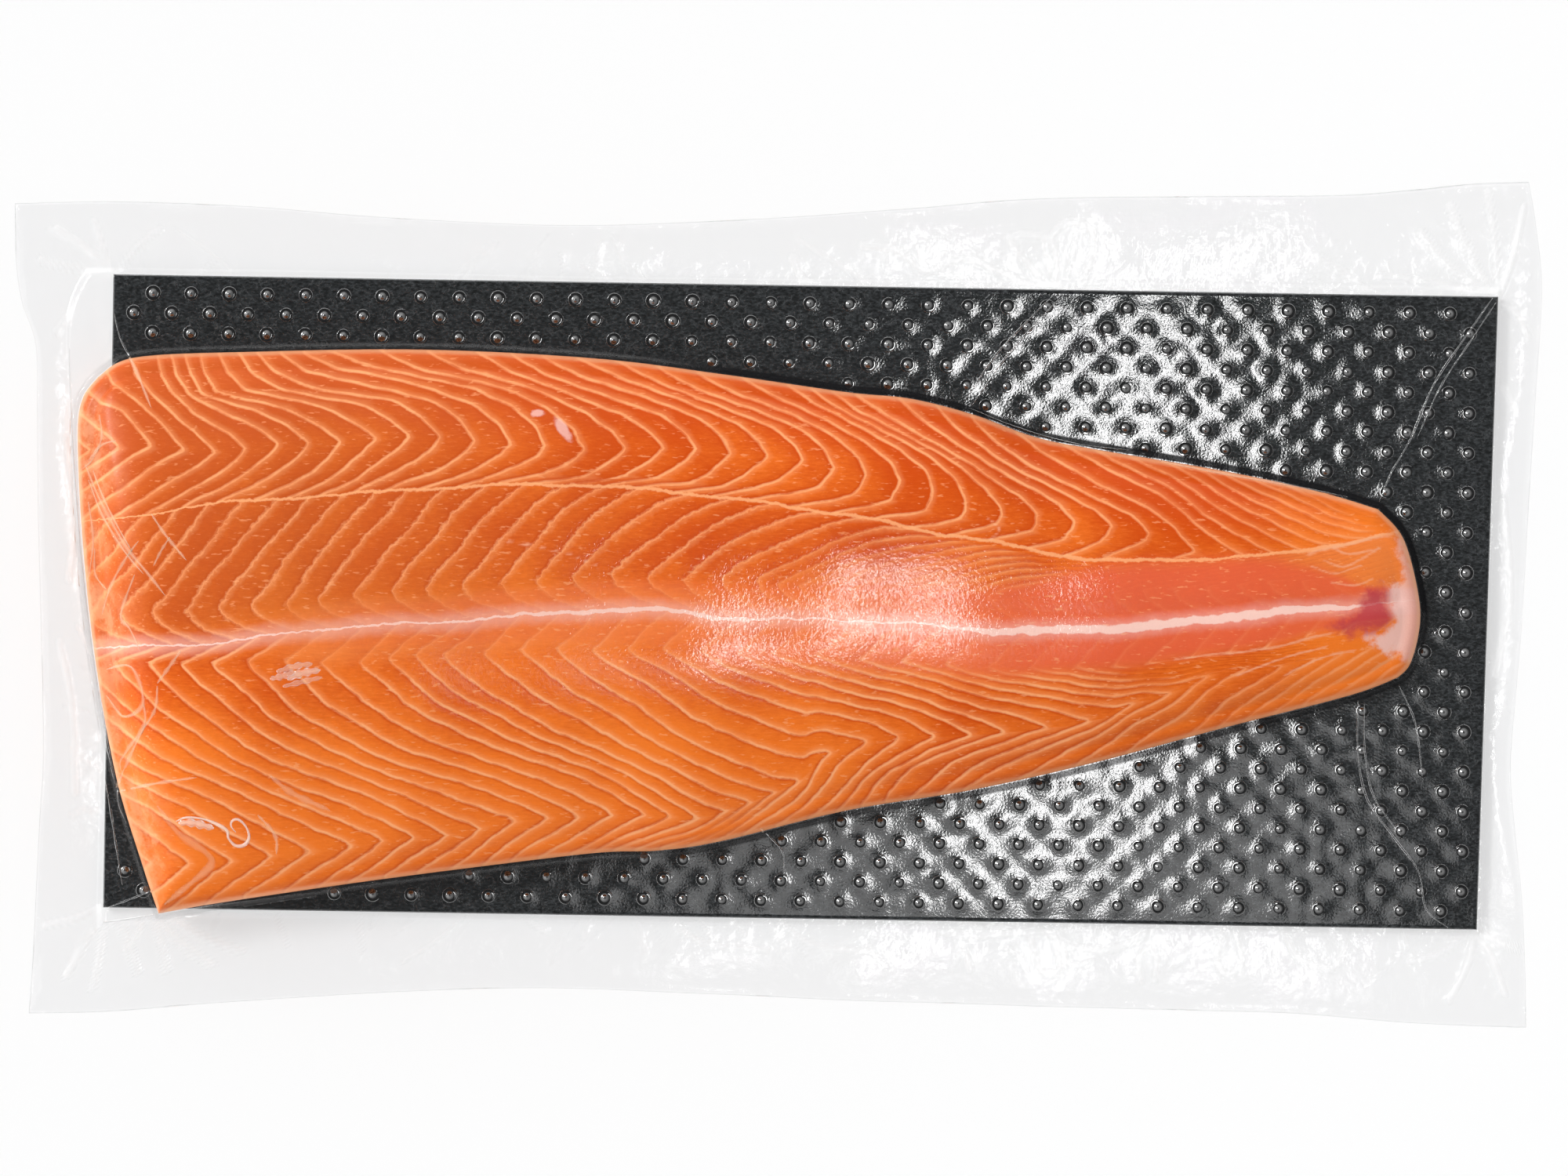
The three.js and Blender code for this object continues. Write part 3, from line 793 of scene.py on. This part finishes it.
def buildPlate(material, places):
    along, across, thickness = plate["alongSteps"], plate["acrossSteps"], boardSize["thickness"]
    ring = joinRing(*boardSides(along, across))
    outward = outwardOf(ring, 1)
    count = len(ring)
    base = boardTop - thickness
    profile = [(0.4, 0), (0, 0.4), (0, thickness - 0.5), (0.15, thickness - 0.15), (0.5, thickness)]
    points = [np.column_stack([ring - outward * inset, np.full(count, base + z)]) for inset, z in profile]
    top = patchBetween(*cutRing(points[-1][:, :2], along, across))[1:-1, 1:-1].reshape(-1, 2)
    points += [np.column_stack([top, boardTop + plateRelief(*top.T, places)]), [[0, 0, base]]]
    points = np.vstack(points)
    faces = stackFaces(len(profile), count)
    faces += gridFaces(ringIndexGrid((len(profile) - 1) * count, count, along, across, len(profile) * count))
    return buildMesh("boardPlate", points, faces + fanFaces(len(points) - 1, 0, count), material)


# Studs by nodes: one bell-shaped stud, copied to every point, each a little different
def studTree(material):
    tree = bpy.data.node_groups.new("studsOnPoints", "GeometryNodeTree")
    nodes = Nodes(tree)
    tree.interface.new_socket("Geometry", in_out="INPUT", socket_type="NodeSocketGeometry")
    for name in ("height", "reach", "shoulder", "sink", "uneven"):
        socket = tree.interface.new_socket(name, in_out="INPUT", socket_type="NodeSocketFloat")
        socket.default_value = studs[name] * (1 if name == "uneven" else mm)
    tree.interface.new_socket("Geometry", in_out="OUTPUT", socket_type="NodeSocketGeometry")
    given = tree.nodes.new("NodeGroupInput").outputs
    cone = nodes.add("GeometryNodeMeshCone", {
        "Vertices": studs["sides"], "Side Segments": studs["rings"], "Radius Top": 0.00012,
        "Radius Bottom": given["reach"], "Depth": given["height"],
    })[0]
    x, y, _ = nodes.add("ShaderNodeSeparateXYZ", {0: nodes.add("GeometryNodeInputPosition")[0]})
    flat = nodes.add("ShaderNodeCombineXYZ", {0: x, 1: y})[0]
    radius = nodes.add("ShaderNodeVectorMath", {0: flat}, operation="LENGTH")["Value"]
    ratio = nodes.calc("DIVIDE", radius, given["shoulder"])
    curve = nodes.calc("EXPONENT", nodes.calc("POWER", ratio, 2.0) * -1.0)
    shaped = nodes.add("ShaderNodeCombineXYZ", {0: x, 1: y, 2: curve * given["height"] - given["sink"]})[0]
    stud = nodes.add("GeometryNodeSetPosition", {"Geometry": cone, "Position": shaped})[0]
    less, more = nodes.calc("SUBTRACT", 1.0, given["uneven"]), nodes.calc("ADD", 1.0, given["uneven"])
    randoms = [{2: less, 3: more, "Seed": studs["seed"]}, {3: math.tau, "Seed": studs["seed"] + 1}]
    scale, turn = (nodes.add("FunctionNodeRandomValue", values, data_type="FLOAT")[1] for values in randoms)
    copies = nodes.add("GeometryNodeInstanceOnPoints", {
        "Points": given["Geometry"], "Instance": stud, "Scale": scale,
        "Rotation": nodes.add("ShaderNodeCombineXYZ", {2: turn})[0],
    })[0]
    real = nodes.add("GeometryNodeRealizeInstances", {"Geometry": copies})[0]
    dressed = nodes.add("GeometryNodeSetMaterial", {"Geometry": real, "Material": material})[0]
    tree.links.new(dressed, tree.nodes.new("NodeGroupOutput").inputs[0])
    return tree


def buildStuds(material, places):
    heights = boardTop + plateRelief(*places.T, places)
    source = buildMesh("studPoints", np.column_stack([places, heights]), [], material)
    source.modifiers.new("studs", "NODES").node_group = studTree(material)
    mesh = bpy.data.meshes.new_from_object(source.evaluated_get(bpy.context.evaluated_depsgraph_get()))
    bpy.data.objects.remove(source)
    mesh.name = "boardStuds"
    mesh.polygons.foreach_set("use_smooth", [True] * len(mesh.polygons))
    return putInScene("boardStuds", mesh)


# The pouch: two sheets of clear film, tight over the fish and the board, sealed in a wavy margin

pouchTop = [
    (-252, 123.2), (-219, 124.2), (-181.5, 123.6), (-136.4, 120.8), (-76.4, 119), (-16.4, 122), (33.5, 126.1),
    (68.5, 129.6), (118.4, 131.4), (168.4, 132.5), (193.4, 134.7), (213.4, 137), (231.1, 137.8),
]
pouchBottom = [
    (-243.3, -135.2), (-214.8, -134), (-177.3, -130.4), (-127.4, -126.6), (-77.4, -124.5), (-27.4, -125.5),
    (22.6, -126.9), (122.7, -128.3), (160.2, -128.7), (197.7, -131.1), (234.7, -132.2),
]
pouchFront = [
    (-243.3, -135.2), (-242.5, -119.5), (-240.8, -74.4), (-240.1, -51.9), (-241.5, -11.9), (-242.9, 25.6),
    (-243.6, 55.6), (-244.5, 78), (-249.2, 91.7), (-251.4, 105.4), (-252, 123.2),
]
pouchTail = [
    (234.7, -132.2), (233.9, -111.7), (232.3, -89.2), (230, -69.3), (228.4, -49.3), (229.7, -24.3),
    (231.5, 5.8), (234.4, 70.8), (235.7, 103.3), (233.6, 123.3), (231.1, 137.8),
]
pouch = {
    # the margin's rings have three points for one on the fish
    "alongSteps": 150, "acrossSteps": 64, "finer": 3,
    "lift": 0.55, "clingRings": 8, "marginRings": 30, "lowerRings": 10,
    "overStuds": 1.25, "foot": 2.2, "atLeast": 1.2, "sheetGap": 0.3, "under": 0.02,
    "swell": 0.8, "wave": 1.9, "waves": 17,
    "randomFolds": 90, "seed": 11,
}

# Folds of the margin: places in the photo's pixels, height and half width in millimetres
folds = [
    ([(1345, 370), (1330, 358), (1292, 312), (1292, 301), (1330, 302), (1345, 318), (1348, 362)], 0.8, 1.0),
    ([(1330, 306), (1338, 340), (1345, 364)], 0.7, 0.8),
    ([(1372, 300), (1362, 355)], 0.5, 0.7),
    ([(1378, 362), (1392, 330), (1396, 302), (1384, 288), (1364, 284), (1350, 291), (1340, 303)], 0.8, 1.0),
    ([(1100, 313), (1145, 320), (1175, 345), (1192, 344), (1230, 330), (1282, 350), (1332, 374)], 0.9, 1.1),
    ([(1182, 345), (1170, 316)], 0.6, 0.8), ([(1190, 348), (1225, 355), (1256, 372)], 0.6, 0.9),
    ([(1012, 330), (1020, 350), (1036, 373)], 0.8, 1.4), ([(1025, 355), (1066, 375)], 0.7, 0.9),
    ([(143, 352), (118, 322), (72, 292)], 1.0, 1.1), ([(143, 352), (104, 344), (52, 332)], 0.8, 1.0),
    ([(143, 352), (112, 372), (70, 424)], 0.8, 1.0), ([(140, 350), (132, 318), (120, 282)], 0.7, 0.9),
    ([(150, 350), (172, 318), (205, 292)], 0.6, 1.0), ([(141, 360), (128, 400), (122, 450)], 0.7, 0.8),
    ([(1908, 378), (1878, 330), (1850, 262)], 1.0, 1.0), ([(1905, 376), (1850, 340), (1812, 296)], 0.8, 1.0),
    ([(1911, 378), (1908, 320), (1898, 244)], 0.8, 0.9), ([(1912, 378), (1930, 330), (1945, 262)], 0.9, 1.0),
    ([(1912, 384), (1935, 400), (1950, 430)], 0.7, 0.9), ([(1890, 376), (1820, 358), (1760, 352)], 0.6, 0.9),
    ([(1884, 1190), (1905, 1226), (1920, 1268)], 0.9, 1.0),
    ([(1882, 1190), (1872, 1232), (1850, 1276)], 0.8, 1.0),
    ([(1886, 1188), (1918, 1205), (1940, 1210)], 0.7, 0.9),
    ([(1878, 1190), (1835, 1218), (1800, 1226)], 0.7, 0.9),
    ([(133, 1158), (112, 1196), (84, 1246)], 1.0, 1.0), ([(134, 1160), (128, 1212), (118, 1262)], 0.8, 0.9),
    ([(131, 1156), (96, 1172), (58, 1180)], 0.8, 1.0), ([(138, 1160), (160, 1196), (176, 1242)], 0.7, 0.9),
    ([(196, 1162), (222, 1196), (270, 1232)], 0.9, 1.1), ([(204, 1162), (250, 1190), (308, 1214)], 0.8, 1.0),
    ([(192, 1164), (204, 1200), (212, 1240)], 0.7, 0.9), ([(184, 1162), (176, 1190), (160, 1212)], 0.6, 0.8),
    ([(1200, 1190), (1250, 1194), (1332, 1186)], 0.8, 1.1),
    ([(1335, 1190), (1365, 1206), (1392, 1213), (1430, 1208), (1472, 1186)], 0.9, 1.1),
    ([(1345, 1190), (1352, 1232), (1342, 1241), (1328, 1238), (1318, 1214), (1314, 1196)], 0.8, 1.0),
    ([(1358, 1204), (1362, 1226), (1376, 1232), (1392, 1226)], 0.7, 0.8),
    ([(1466, 1206), (1452, 1226), (1456, 1252)], 0.7, 0.9),
    ([(1466, 1206), (1476, 1226), (1474, 1250)], 0.7, 0.9),
    ([(1285, 1210), (1302, 1222), (1312, 1240)], 0.6, 0.9),
    ([(1215, 1236), (1228, 1214), (1238, 1238)], 0.7, 0.9),
    ([(1560, 1192), (1552, 1222), (1566, 1244), (1584, 1226), (1578, 1196)], 0.7, 0.9),
    ([(1640, 1196), (1660, 1224), (1700, 1236), (1716, 1204)], 0.8, 1.0),
    ([(860, 1176), (900, 1204), (980, 1212)], 0.6, 1.0),
    ([(1000, 1180), (1040, 1206), (1110, 1214)], 0.6, 1.0),
    ([(84, 560), (96, 640), (88, 740)], 0.6, 1.4), ([(76, 820), (92, 900), (96, 1010)], 0.6, 1.4),
    ([(1918, 640), (1926, 760), (1908, 860)], 0.5, 1.4),
]

# Creases of the film drawn tight over the board and over the fish, in the same way
creases = [
    ([(1342, 378), (1312, 408), (1270, 453), (1230, 512)], 0.55, 0.5),
    ([(1352, 380), (1322, 412), (1281, 458), (1240, 517)], 0.45, 0.45),
    ([(1905, 380), (1870, 430), (1830, 490), (1800, 560), (1776, 602), (1760, 640)], 0.5, 0.5),
    ([(1909, 386), (1876, 436), (1838, 494), (1808, 560)], 0.35, 0.35),
    ([(1733, 893), (1733, 960), (1745, 1020), (1780, 1070), (1810, 1112), (1820, 1160), (1848, 1184)],
     0.5, 0.5),
    ([(1741, 896), (1742, 960), (1753, 1016), (1788, 1066)], 0.4, 0.4),
    ([(1785, 874), (1806, 922), (1815, 990)], 0.5, 0.45),
    ([(970, 1057), (997, 1085), (1000, 1112)], 0.5, 0.45),
    ([(145, 400), (152, 430), (166, 458), (180, 490), (192, 520)], 0.45, 0.4),
    ([(133, 992), (144, 1060), (155, 1130)], 0.45, 0.4), ([(137, 1158), (195, 1136)], 0.45, 0.4),
    ([(108, 592), (120, 622), (141, 664), (162, 700), (189, 733), (210, 760)], 0.4, 0.45),
    ([(112, 612), (130, 656), (156, 700), (182, 732)], 0.35, 0.35),
    ([(118, 600), (134, 640), (152, 676), (166, 700)], 0.3, 0.3),
    ([(126, 529), (129, 559), (117, 586), (105, 598)], 0.3, 0.3),
    ([(147, 562), (129, 568), (112, 588)], 0.3, 0.3),
    ([(192, 655), (210, 682), (237, 715)], 0.35, 0.35),
    ([(176, 690), (162, 709), (144, 742), (129, 784)], 0.3, 0.35),
    ([(216, 685), (205, 702), (195, 722)], 0.3, 0.3), ([(120, 700), (121, 733), (136, 752)], 0.3, 0.3),
    ([(171, 733), (154, 784), (165, 802), (178, 830)], 0.3, 0.35),
    ([(112, 640), (118, 690), (112, 740)], 0.3, 0.3),
    ([(200, 1028), (226, 1062), (262, 1088), (268, 1104), (244, 1126), (209, 1154)], 0.3, 0.7),
    ([(328, 1040), (350, 1066), (352, 1090)], 0.3, 0.4), ([(344, 990), (372, 1012), (420, 1034)], 0.3, 0.6),
    ([(135, 854), (167, 851), (182, 896), (158, 914), (135, 887)], 0.3, 0.4),
    ([(182, 896), (183, 926), (155, 968), (155, 986)], 0.3, 0.4),
    ([(200, 875), (197, 905), (183, 929)], 0.3, 0.35),
    ([(230, 830), (200, 872)], 0.3, 0.4), ([(184, 926), (150, 1006), (160, 1050)], 0.3, 0.4),
    ([(150, 1010), (196, 1000), (250, 992)], 0.3, 0.35), ([(126, 880), (134, 940), (146, 1000)], 0.3, 0.5),
    ([(1236, 520), (1300, 546), (1372, 566), (1440, 574)], 0.35, 0.4),
    ([(1480, 588), (1560, 604), (1640, 618), (1720, 634)], 0.35, 0.35),
]

# Small folds where the film shines on the fish, in the same way, with how white each is painted, a painted
# highlight
glints = [
    ([(224, 1048), (238, 1043), (262, 1046), (287, 1058), (291, 1070), (300, 1079), (311, 1078), (317, 1068),
      (313, 1055), (304, 1046), (296, 1047), (294, 1054), (300, 1062)], 0.35, 0.75, 0.8),
    ([(227, 1050), (246, 1050), (272, 1057)], 0.3, 1.7, 0.6),
    ([(344, 866), (362, 862), (376, 857)], 0.3, 1.4, 0.4),
    ([(352, 857), (376, 850), (398, 847)], 0.3, 1.3, 0.35),
    ([(366, 867), (384, 859), (408, 855)], 0.3, 1.6, 0.5),
    ([(360, 876), (384, 870), (410, 864)], 0.3, 1.1, 0.3),
]


def filmMaterial():
    made, nodes = newMaterial("clearFilm")
    bump = nodes.bump(nodes.noise(nodes.coords(), 0.09, 4, 0.6), 0.4, 2)

    def shader(kind, **inputs):
        return nodes.add("ShaderNodeBsdf" + kind, inputs)[0]

    def mixed(share, a, b):
        return nodes.add("ShaderNodeMixShader", {0: share, 1: a, 2: b})[0]

    def higher(a, b):
        return nodes.calc("MAXIMUM", a, b)

    paintedShade = nodes.attribute("paintedShade")
    # The milky attribute mixes in a white, or over the fish a warm, diffuse colour: a painted highlight
    # standing in for light caught on folds, creases and glints.
    highlightPaint = nodes.blend(nodes.attribute("warm"), (0.99, 0.99, 0.99, 1), srgb(255, 214, 180))
    clear, dark = (0.982, 0.982, 0.984, 1), (0.01, 0.01, 0.011, 1)
    # The tent attribute mixes in a near-black sheet: painted shadow in the film round the fish's foot, and a
    # faint painted shade in the creases.
    body = mixed(paintedShade, shader("Transparent", Color=clear), shader("Diffuse", Color=dark))
    body = mixed(nodes.attribute("paintedHighlight"), body, shader("Diffuse", Color=highlightPaint))
    dulled = higher(nodes.attribute("onFish") * 0.95, paintedShade)
    facing = nodes.add("ShaderNodeLayerWeight", {"Blend": 0.32, "Normal": bump})["Fresnel"]
    body = mixed((1 - dulled) * facing, body, shader("Glossy", Roughness=0.08, Normal=bump))
    # light falls through the film unhindered
    ray = nodes.add("ShaderNodeLightPath")
    passing = higher(higher(ray["Is Shadow Ray"], ray["Is Diffuse Ray"]), ray["Is Glossy Ray"])
    seen = nodes.attribute("free") * (1 - passing)
    nodes.set(nodes.surface, mixed(seen, shader("Transparent"), body))
    return made


def randomFolds(random):
    made = []
    length, width = boardSize["length"] / 2, boardSize["width"] / 2
    for _ in range(pouch["randomFolds"]):
        along = random.random() < 0.75
        side = 1 if random.random() < 0.5 else -1
        spot = random.uniform(-1, 1)
        start = np.array([spot * length, side * width] if along else [side * length, spot * width])
        out = np.array([0, side] if along else [side, 0], float)
        aside = np.array([out[1], -out[0]])
        lean, bend = aside * random.uniform(-1.4, 1.4), aside * random.uniform(-6, 6)
        reach = random.uniform(5, 17)
        made.append(([start + (out * t + lean * t) * reach + bend * t * t for t in (0, 0.35, 0.7, 1)],
                     random.uniform(0.1, 0.4), random.uniform(0.6, 1.5)))
    return made


def foldCurves():
    drawn = [(seenLine(line), height, width) for line, height, width in folds]
    drawn += randomFolds(np.random.default_rng(pouch["seed"]))
    return [(denseCurve(line, 6), height, width) for line, height, width in drawn]


def foldRelief(curves, x, y):
    return 0.7 * np.max([height * bell(distanceTo(curve, x, y), width) for curve, height, width in curves], 0)


def marginHeight(share, turn):
    wave = 0.5 + 0.5 * np.sin(math.tau * pouch["waves"] * turn + 1.3 * np.sin(math.tau * 5 * turn))
    return pouch["swell"] * 4 * share * (1 - share) + pouch["wave"] * wave * share


def beyondBoard(x, y):
    out = np.maximum(np.abs(x) - boardSize["length"] / 2, np.abs(y) - boardSize["width"] / 2)
    return smoothStep(0.2, 3.6, out)


# From a coarse ring inside to a finer one outside
def widenFaces(inner, outer, count, finer):
    faces = []
    half = finer // 2
    for i in range(count):
        a, b = inner + i, inner + (i + 1) % count
        fine = [outer + (i * finer + j) % (count * finer) for j in range(finer + 1)]
        faces += [(fine[j], fine[j + 1], a) for j in range(half)]
        faces.append((fine[half], b, a))
        faces += [(fine[j], fine[j + 1], b) for j in range(half, finer)]
    return faces


def buildPouch(material):
    along, across, finer, foot, under, clings = (
        pouch[key] for key in ("alongSteps", "acrossSteps", "finer", "foot", "under", "clingRings"))
    level = boardTop + pouch["overStuds"]
    shell, faces, count = fishShell(along, across, outset=0.35, lift=pouch["lift"])
    ring, outward = ringAndOutward(along, across)
    shoulder = valueAlong(fish["shoulder"], shareAlong(along, across))
    paintedShade = np.zeros(len(shell))
    # Painted shadow in the film round the fish's foot: a dark line, strongest towards the tail and on the
    # back side.
    shadowLine = smoothStep(-60, -20, ring[:, 0]) * np.where(ring[:, 1] > 0, 1, 0.75)
    for k, (share, _) in enumerate(fish["side"]):
        own = slice(k * count, (k + 1) * count)
        paintedShade[own] = (0.15 + 0.8 * shadowLine) * (1 - smoothStep(0.3, 0.6, share))
        if share < 0.5:
            flat = ring + outward * np.interp(share, [0, 0.06, 0.16, 0.35], [foot, 1.2, 0.6, 0.4])
            shell[own] = np.column_stack([flat, level + share * shoulder])
    parts = [shell]
    values = {"free": [paintedShade > 0], "paintedShade": [paintedShade], "paintedHighlight": [np.zeros(len(shell))]}

    def addRing(flat, height, free=1, highlightPaint=0):
        parts.append(np.column_stack([flat, np.broadcast_to(height, len(flat))]))
        for key, number in (("free", free), ("paintedShade", 0), ("paintedHighlight", highlightPaint)):
            values[key].append(np.broadcast_to(number, len(flat)))

    fineRing, fineOutward = ringAndOutward(along * finer, across * finer)
    closest = fineRing + fineOutward * foot - pouch["atLeast"]
    board = joinRing(*boardSides(along * finer, across * finer))
    turn = np.arange(len(board)) / len(board)
    for axis, clipped in ((0, turn >= (2 * along + across) / count), (1, turn < along / count)):
        board[:, axis] = np.where(clipped, np.minimum(board[:, axis], closest[:, axis]), board[:, axis])
    outer = joinRing(evenPoints(pouchBottom, along * finer), evenPoints(pouchTail, across * finer),
                     evenPoints(pouchTop, along * finer), evenPoints(pouchFront, across * finer))

    inner = ring + outward * foot
    start = len(shell)
    for k in range(1, clings):
        flat = inner + (board[::finer] - inner) * ((k - 1) / (clings - 1)) + outward * (0.9 / k)
        addRing(flat, level, beyondBoard(*flat.T))
        faces += bandFaces(start, start - count if k > 1 else 0, count)
        start += count
    faces += widenFaces(start - count, start, count, finer)
    addRing(board, level, beyondBoard(*board.T))
    curves = foldCurves()
    for k in range(1, pouch["marginRings"] + 1):
        share = k / pouch["marginRings"]
        flat = board + (outer - board) * share
        drop = level * (1 - smoothStep(0, 0.12, share))
        height = marginHeight(share, turn) + 2 * pouch["sheetGap"] * min(1, 6 * (1 - share))
        relief = foldRelief(curves, *flat.T) * min(1, 8 * (1 - share))
        # Fold ridges get a little milky white: a painted highlight.
        addRing(flat, np.maximum(drop, height + relief), highlightPaint=np.clip(relief * 0.8 - 0.05, 0, 0.25))
    for k in range(pouch["lowerRings"], 0, -1):
        share = k / pouch["lowerRings"] - 0.004
        addRing(board + (outer - board) * share, np.maximum(marginHeight(share, turn) - 0.1, under))
    addRing(board, under)
    for _ in range(pouch["marginRings"] + pouch["lowerRings"] + 1):
        faces += bandFaces(start + len(board), start, len(board))
        start += len(board)
    addRing(np.zeros((1, 2)), under)
    faces += fanFaces(start + len(board), start, len(board))
    values = {key: np.concatenate(numbers) for key, numbers in values.items()}
    return buildMesh("pouchFilm", np.vstack(parts), faces, material, values)


# Each crease is a low arch laid along the film, closed underneath and run out at both ends.
arch = [(1, -0.2), (0.75, 0.55), (0.3, 0.95), (-0.3, 0.95), (-0.75, 0.55), (-1, -0.2)]


def buildCreases(film, material):
    tree = BVHTree.FromObject(film, bpy.context.evaluated_depsgraph_get())
    middle = np.array(view["middle"])

    def onFilm(place):
        x, y = (place + boardMiddle) * mm
        return tree.ray_cast(Vector((x, y, 1)), Vector((0, 0, -1)))[0].z / mm

    points, faces, rows = [], [], []
    for line, height, width, white in [(*crease, 0) for crease in creases] + glints:
        curve = evenPoints(seenLine(line), 12 * len(line))
        nearer = 1 - np.array([[onFilm(place)] for place in curve]) / view["height"]
        raised = middle + (curve - middle) * nearer
        along = np.gradient(raised, axis=0)
        along /= np.linalg.norm(along, axis=1)[:, None]
        aside = np.stack([along[:, 1], -along[:, 0]], 1)
        share = np.linspace(0, 1, len(raised))
        swell = np.sin(math.pi * np.clip(share, 0.01, 0.99)) ** 0.4 * (0.8 + 0.2 * np.sin(share * 23))
        first, sides = len(points), len(arch)
        for place, side, size in zip(raised, aside, swell):
            base = onFilm(place)
            onFish = smoothStep(6, 10, base)
            # Over the fish a crease loses its gloss and gets a painted highlight of milky white instead; a
            # glint keeps its gloss and gets a painted white highlight as well.
            dull = 0 if white else onFish
            highlightShare = (white or min(0.65, 0.28 / width)) * onFish
            for out, up in arch:
                flat = place + side * out * width * size * (1 + 1.3 * dull)
                points.append((*flat, base + up * height * size * (1 - 0.65 * dull)))
                rows.append((highlightShare * max(0, 1 - out * out * 1.1), onFish * (1 - 0.7 * white), dull))
        last = len(points) - sides
        for a in range(first, last, sides):
            faces += [(a + j, a + (j + 1) % sides, a + sides + (j + 1) % sides, a + sides + j)
                      for j in range(sides)]
        faces += [tuple(range(first, first + sides))[::-1], tuple(range(last, last + sides))]
    values = dict(zip(("paintedHighlight", "warm", "onFish"), np.array(rows).T))
    values |= {"free": 0.8 - 0.2 * values["onFish"], "paintedShade": np.full(len(points), 0.02)}
    return buildMesh("filmCreases", points, faces, material, values)


# Floor, light and air

def addStage():
    made, nodes = newMaterial("paleFloor")
    nodes.principled(Base_Color=(0.42, 0.42, 0.421, 1), Roughness=0.8, Specular_IOR_Level=0.1,
                     Emission_Color=(1, 1, 1, 1), Emission_Strength=0.545)
    size = 3000
    corners = [(-size, -size, 0), (size, -size, 0), (size, size, 0), (-size, size, 0)]
    buildMesh("floor", corners, [(0, 1, 2, 3)], made)


strips = [
    {"place": (138, 8, 1000), "size": (46, 300), "turn": -12, "radiance": 14.5},
    {"place": (110, -150, 1000), "size": (330, 170), "turn": 0, "radiance": 0.95},
]
sky = {"zenith": 0.1, "fill": 1.04, "key": 47, "low": 0.5, "keyFrom": 155}


# A dark ceiling over bright walls, with one wide softbox low on the back left
def addSky():
    world = bpy.data.worlds.new("air")
    world.use_nodes = True
    nodes = Nodes(world.node_tree)
    toward = nodes.add("ShaderNodeTexCoord")["Generated"]
    up = nodes.add("ShaderNodeSeparateXYZ", {0: toward})[2]

    def along(degrees):
        turn = math.radians(degrees)
        inputs = {0: toward, 1: (math.cos(turn), math.sin(turn), 0)}
        return nodes.add("ShaderNodeVectorMath", inputs, operation="DOT_PRODUCT")["Value"]

    ahead, aside = along(sky["keyFrom"]), nodes.calc("ABSOLUTE", along(sky["keyFrom"] + 90))
    step = nodes.step
    fill = step(up, 0.87, 0.64) * step(ahead, -0.6, 0.6, 0.5, 1.2)
    key = step(up, 0.56, 0.53) * step(up, 0.43, 0.46) * step(aside, 0.2, 0.15)
    key = key * nodes.calc("GREATER_THAN", ahead)
    glow = fill * sky["fill"] + sky["zenith"] + key * sky["key"] + step(up, 0.5, 0.3) * sky["low"]
    background = world.node_tree.nodes["Background"].inputs
    nodes.set(background["Strength"], glow)
    background["Color"].default_value = (1, 1, 1, 1)
    bpy.context.scene.world = world
    bpy.context.scene.view_settings.view_transform = "Standard"


def addStrip(strip):
    data = bpy.data.lights.new("stripSoftbox", "AREA")
    data.shape = "RECTANGLE"
    data.size, data.size_y = strip["size"][0] * mm, strip["size"][1] * mm
    data.energy = strip["radiance"] * math.pi * data.size * data.size_y
    lamp = putInScene("stripSoftbox", data)
    x, y, z = strip["place"]
    lamp.location = ((x + boardMiddle[0]) * mm, (y + boardMiddle[1]) * mm, z * mm)
    lamp.rotation_euler = (0, 0, math.radians(strip["turn"]))
    lamp.visible_camera = False


addCamera()
addSky()
for strip in strips:
    addStrip(strip)
addStage()
print("stage set")
finishPiece(buildFish(fleshMaterial()), "salmon_flesh", "salmon_loin")
boardFinish = boardMaterial()
places = studPlaces()
finishPiece(buildPlate(boardFinish, places), "black_board", "backing_board")
finishPiece(buildStuds(studMaterial(), places), "black_board", "backing_board")
filmFinish = filmMaterial()
pouchFilm = buildPouch(filmFinish)
filmCreases = buildCreases(pouchFilm, filmFinish)
finishPiece(pouchFilm, "clear_film", "vacuum_pouch")
finishPiece(filmCreases, "clear_film", "vacuum_pouch")
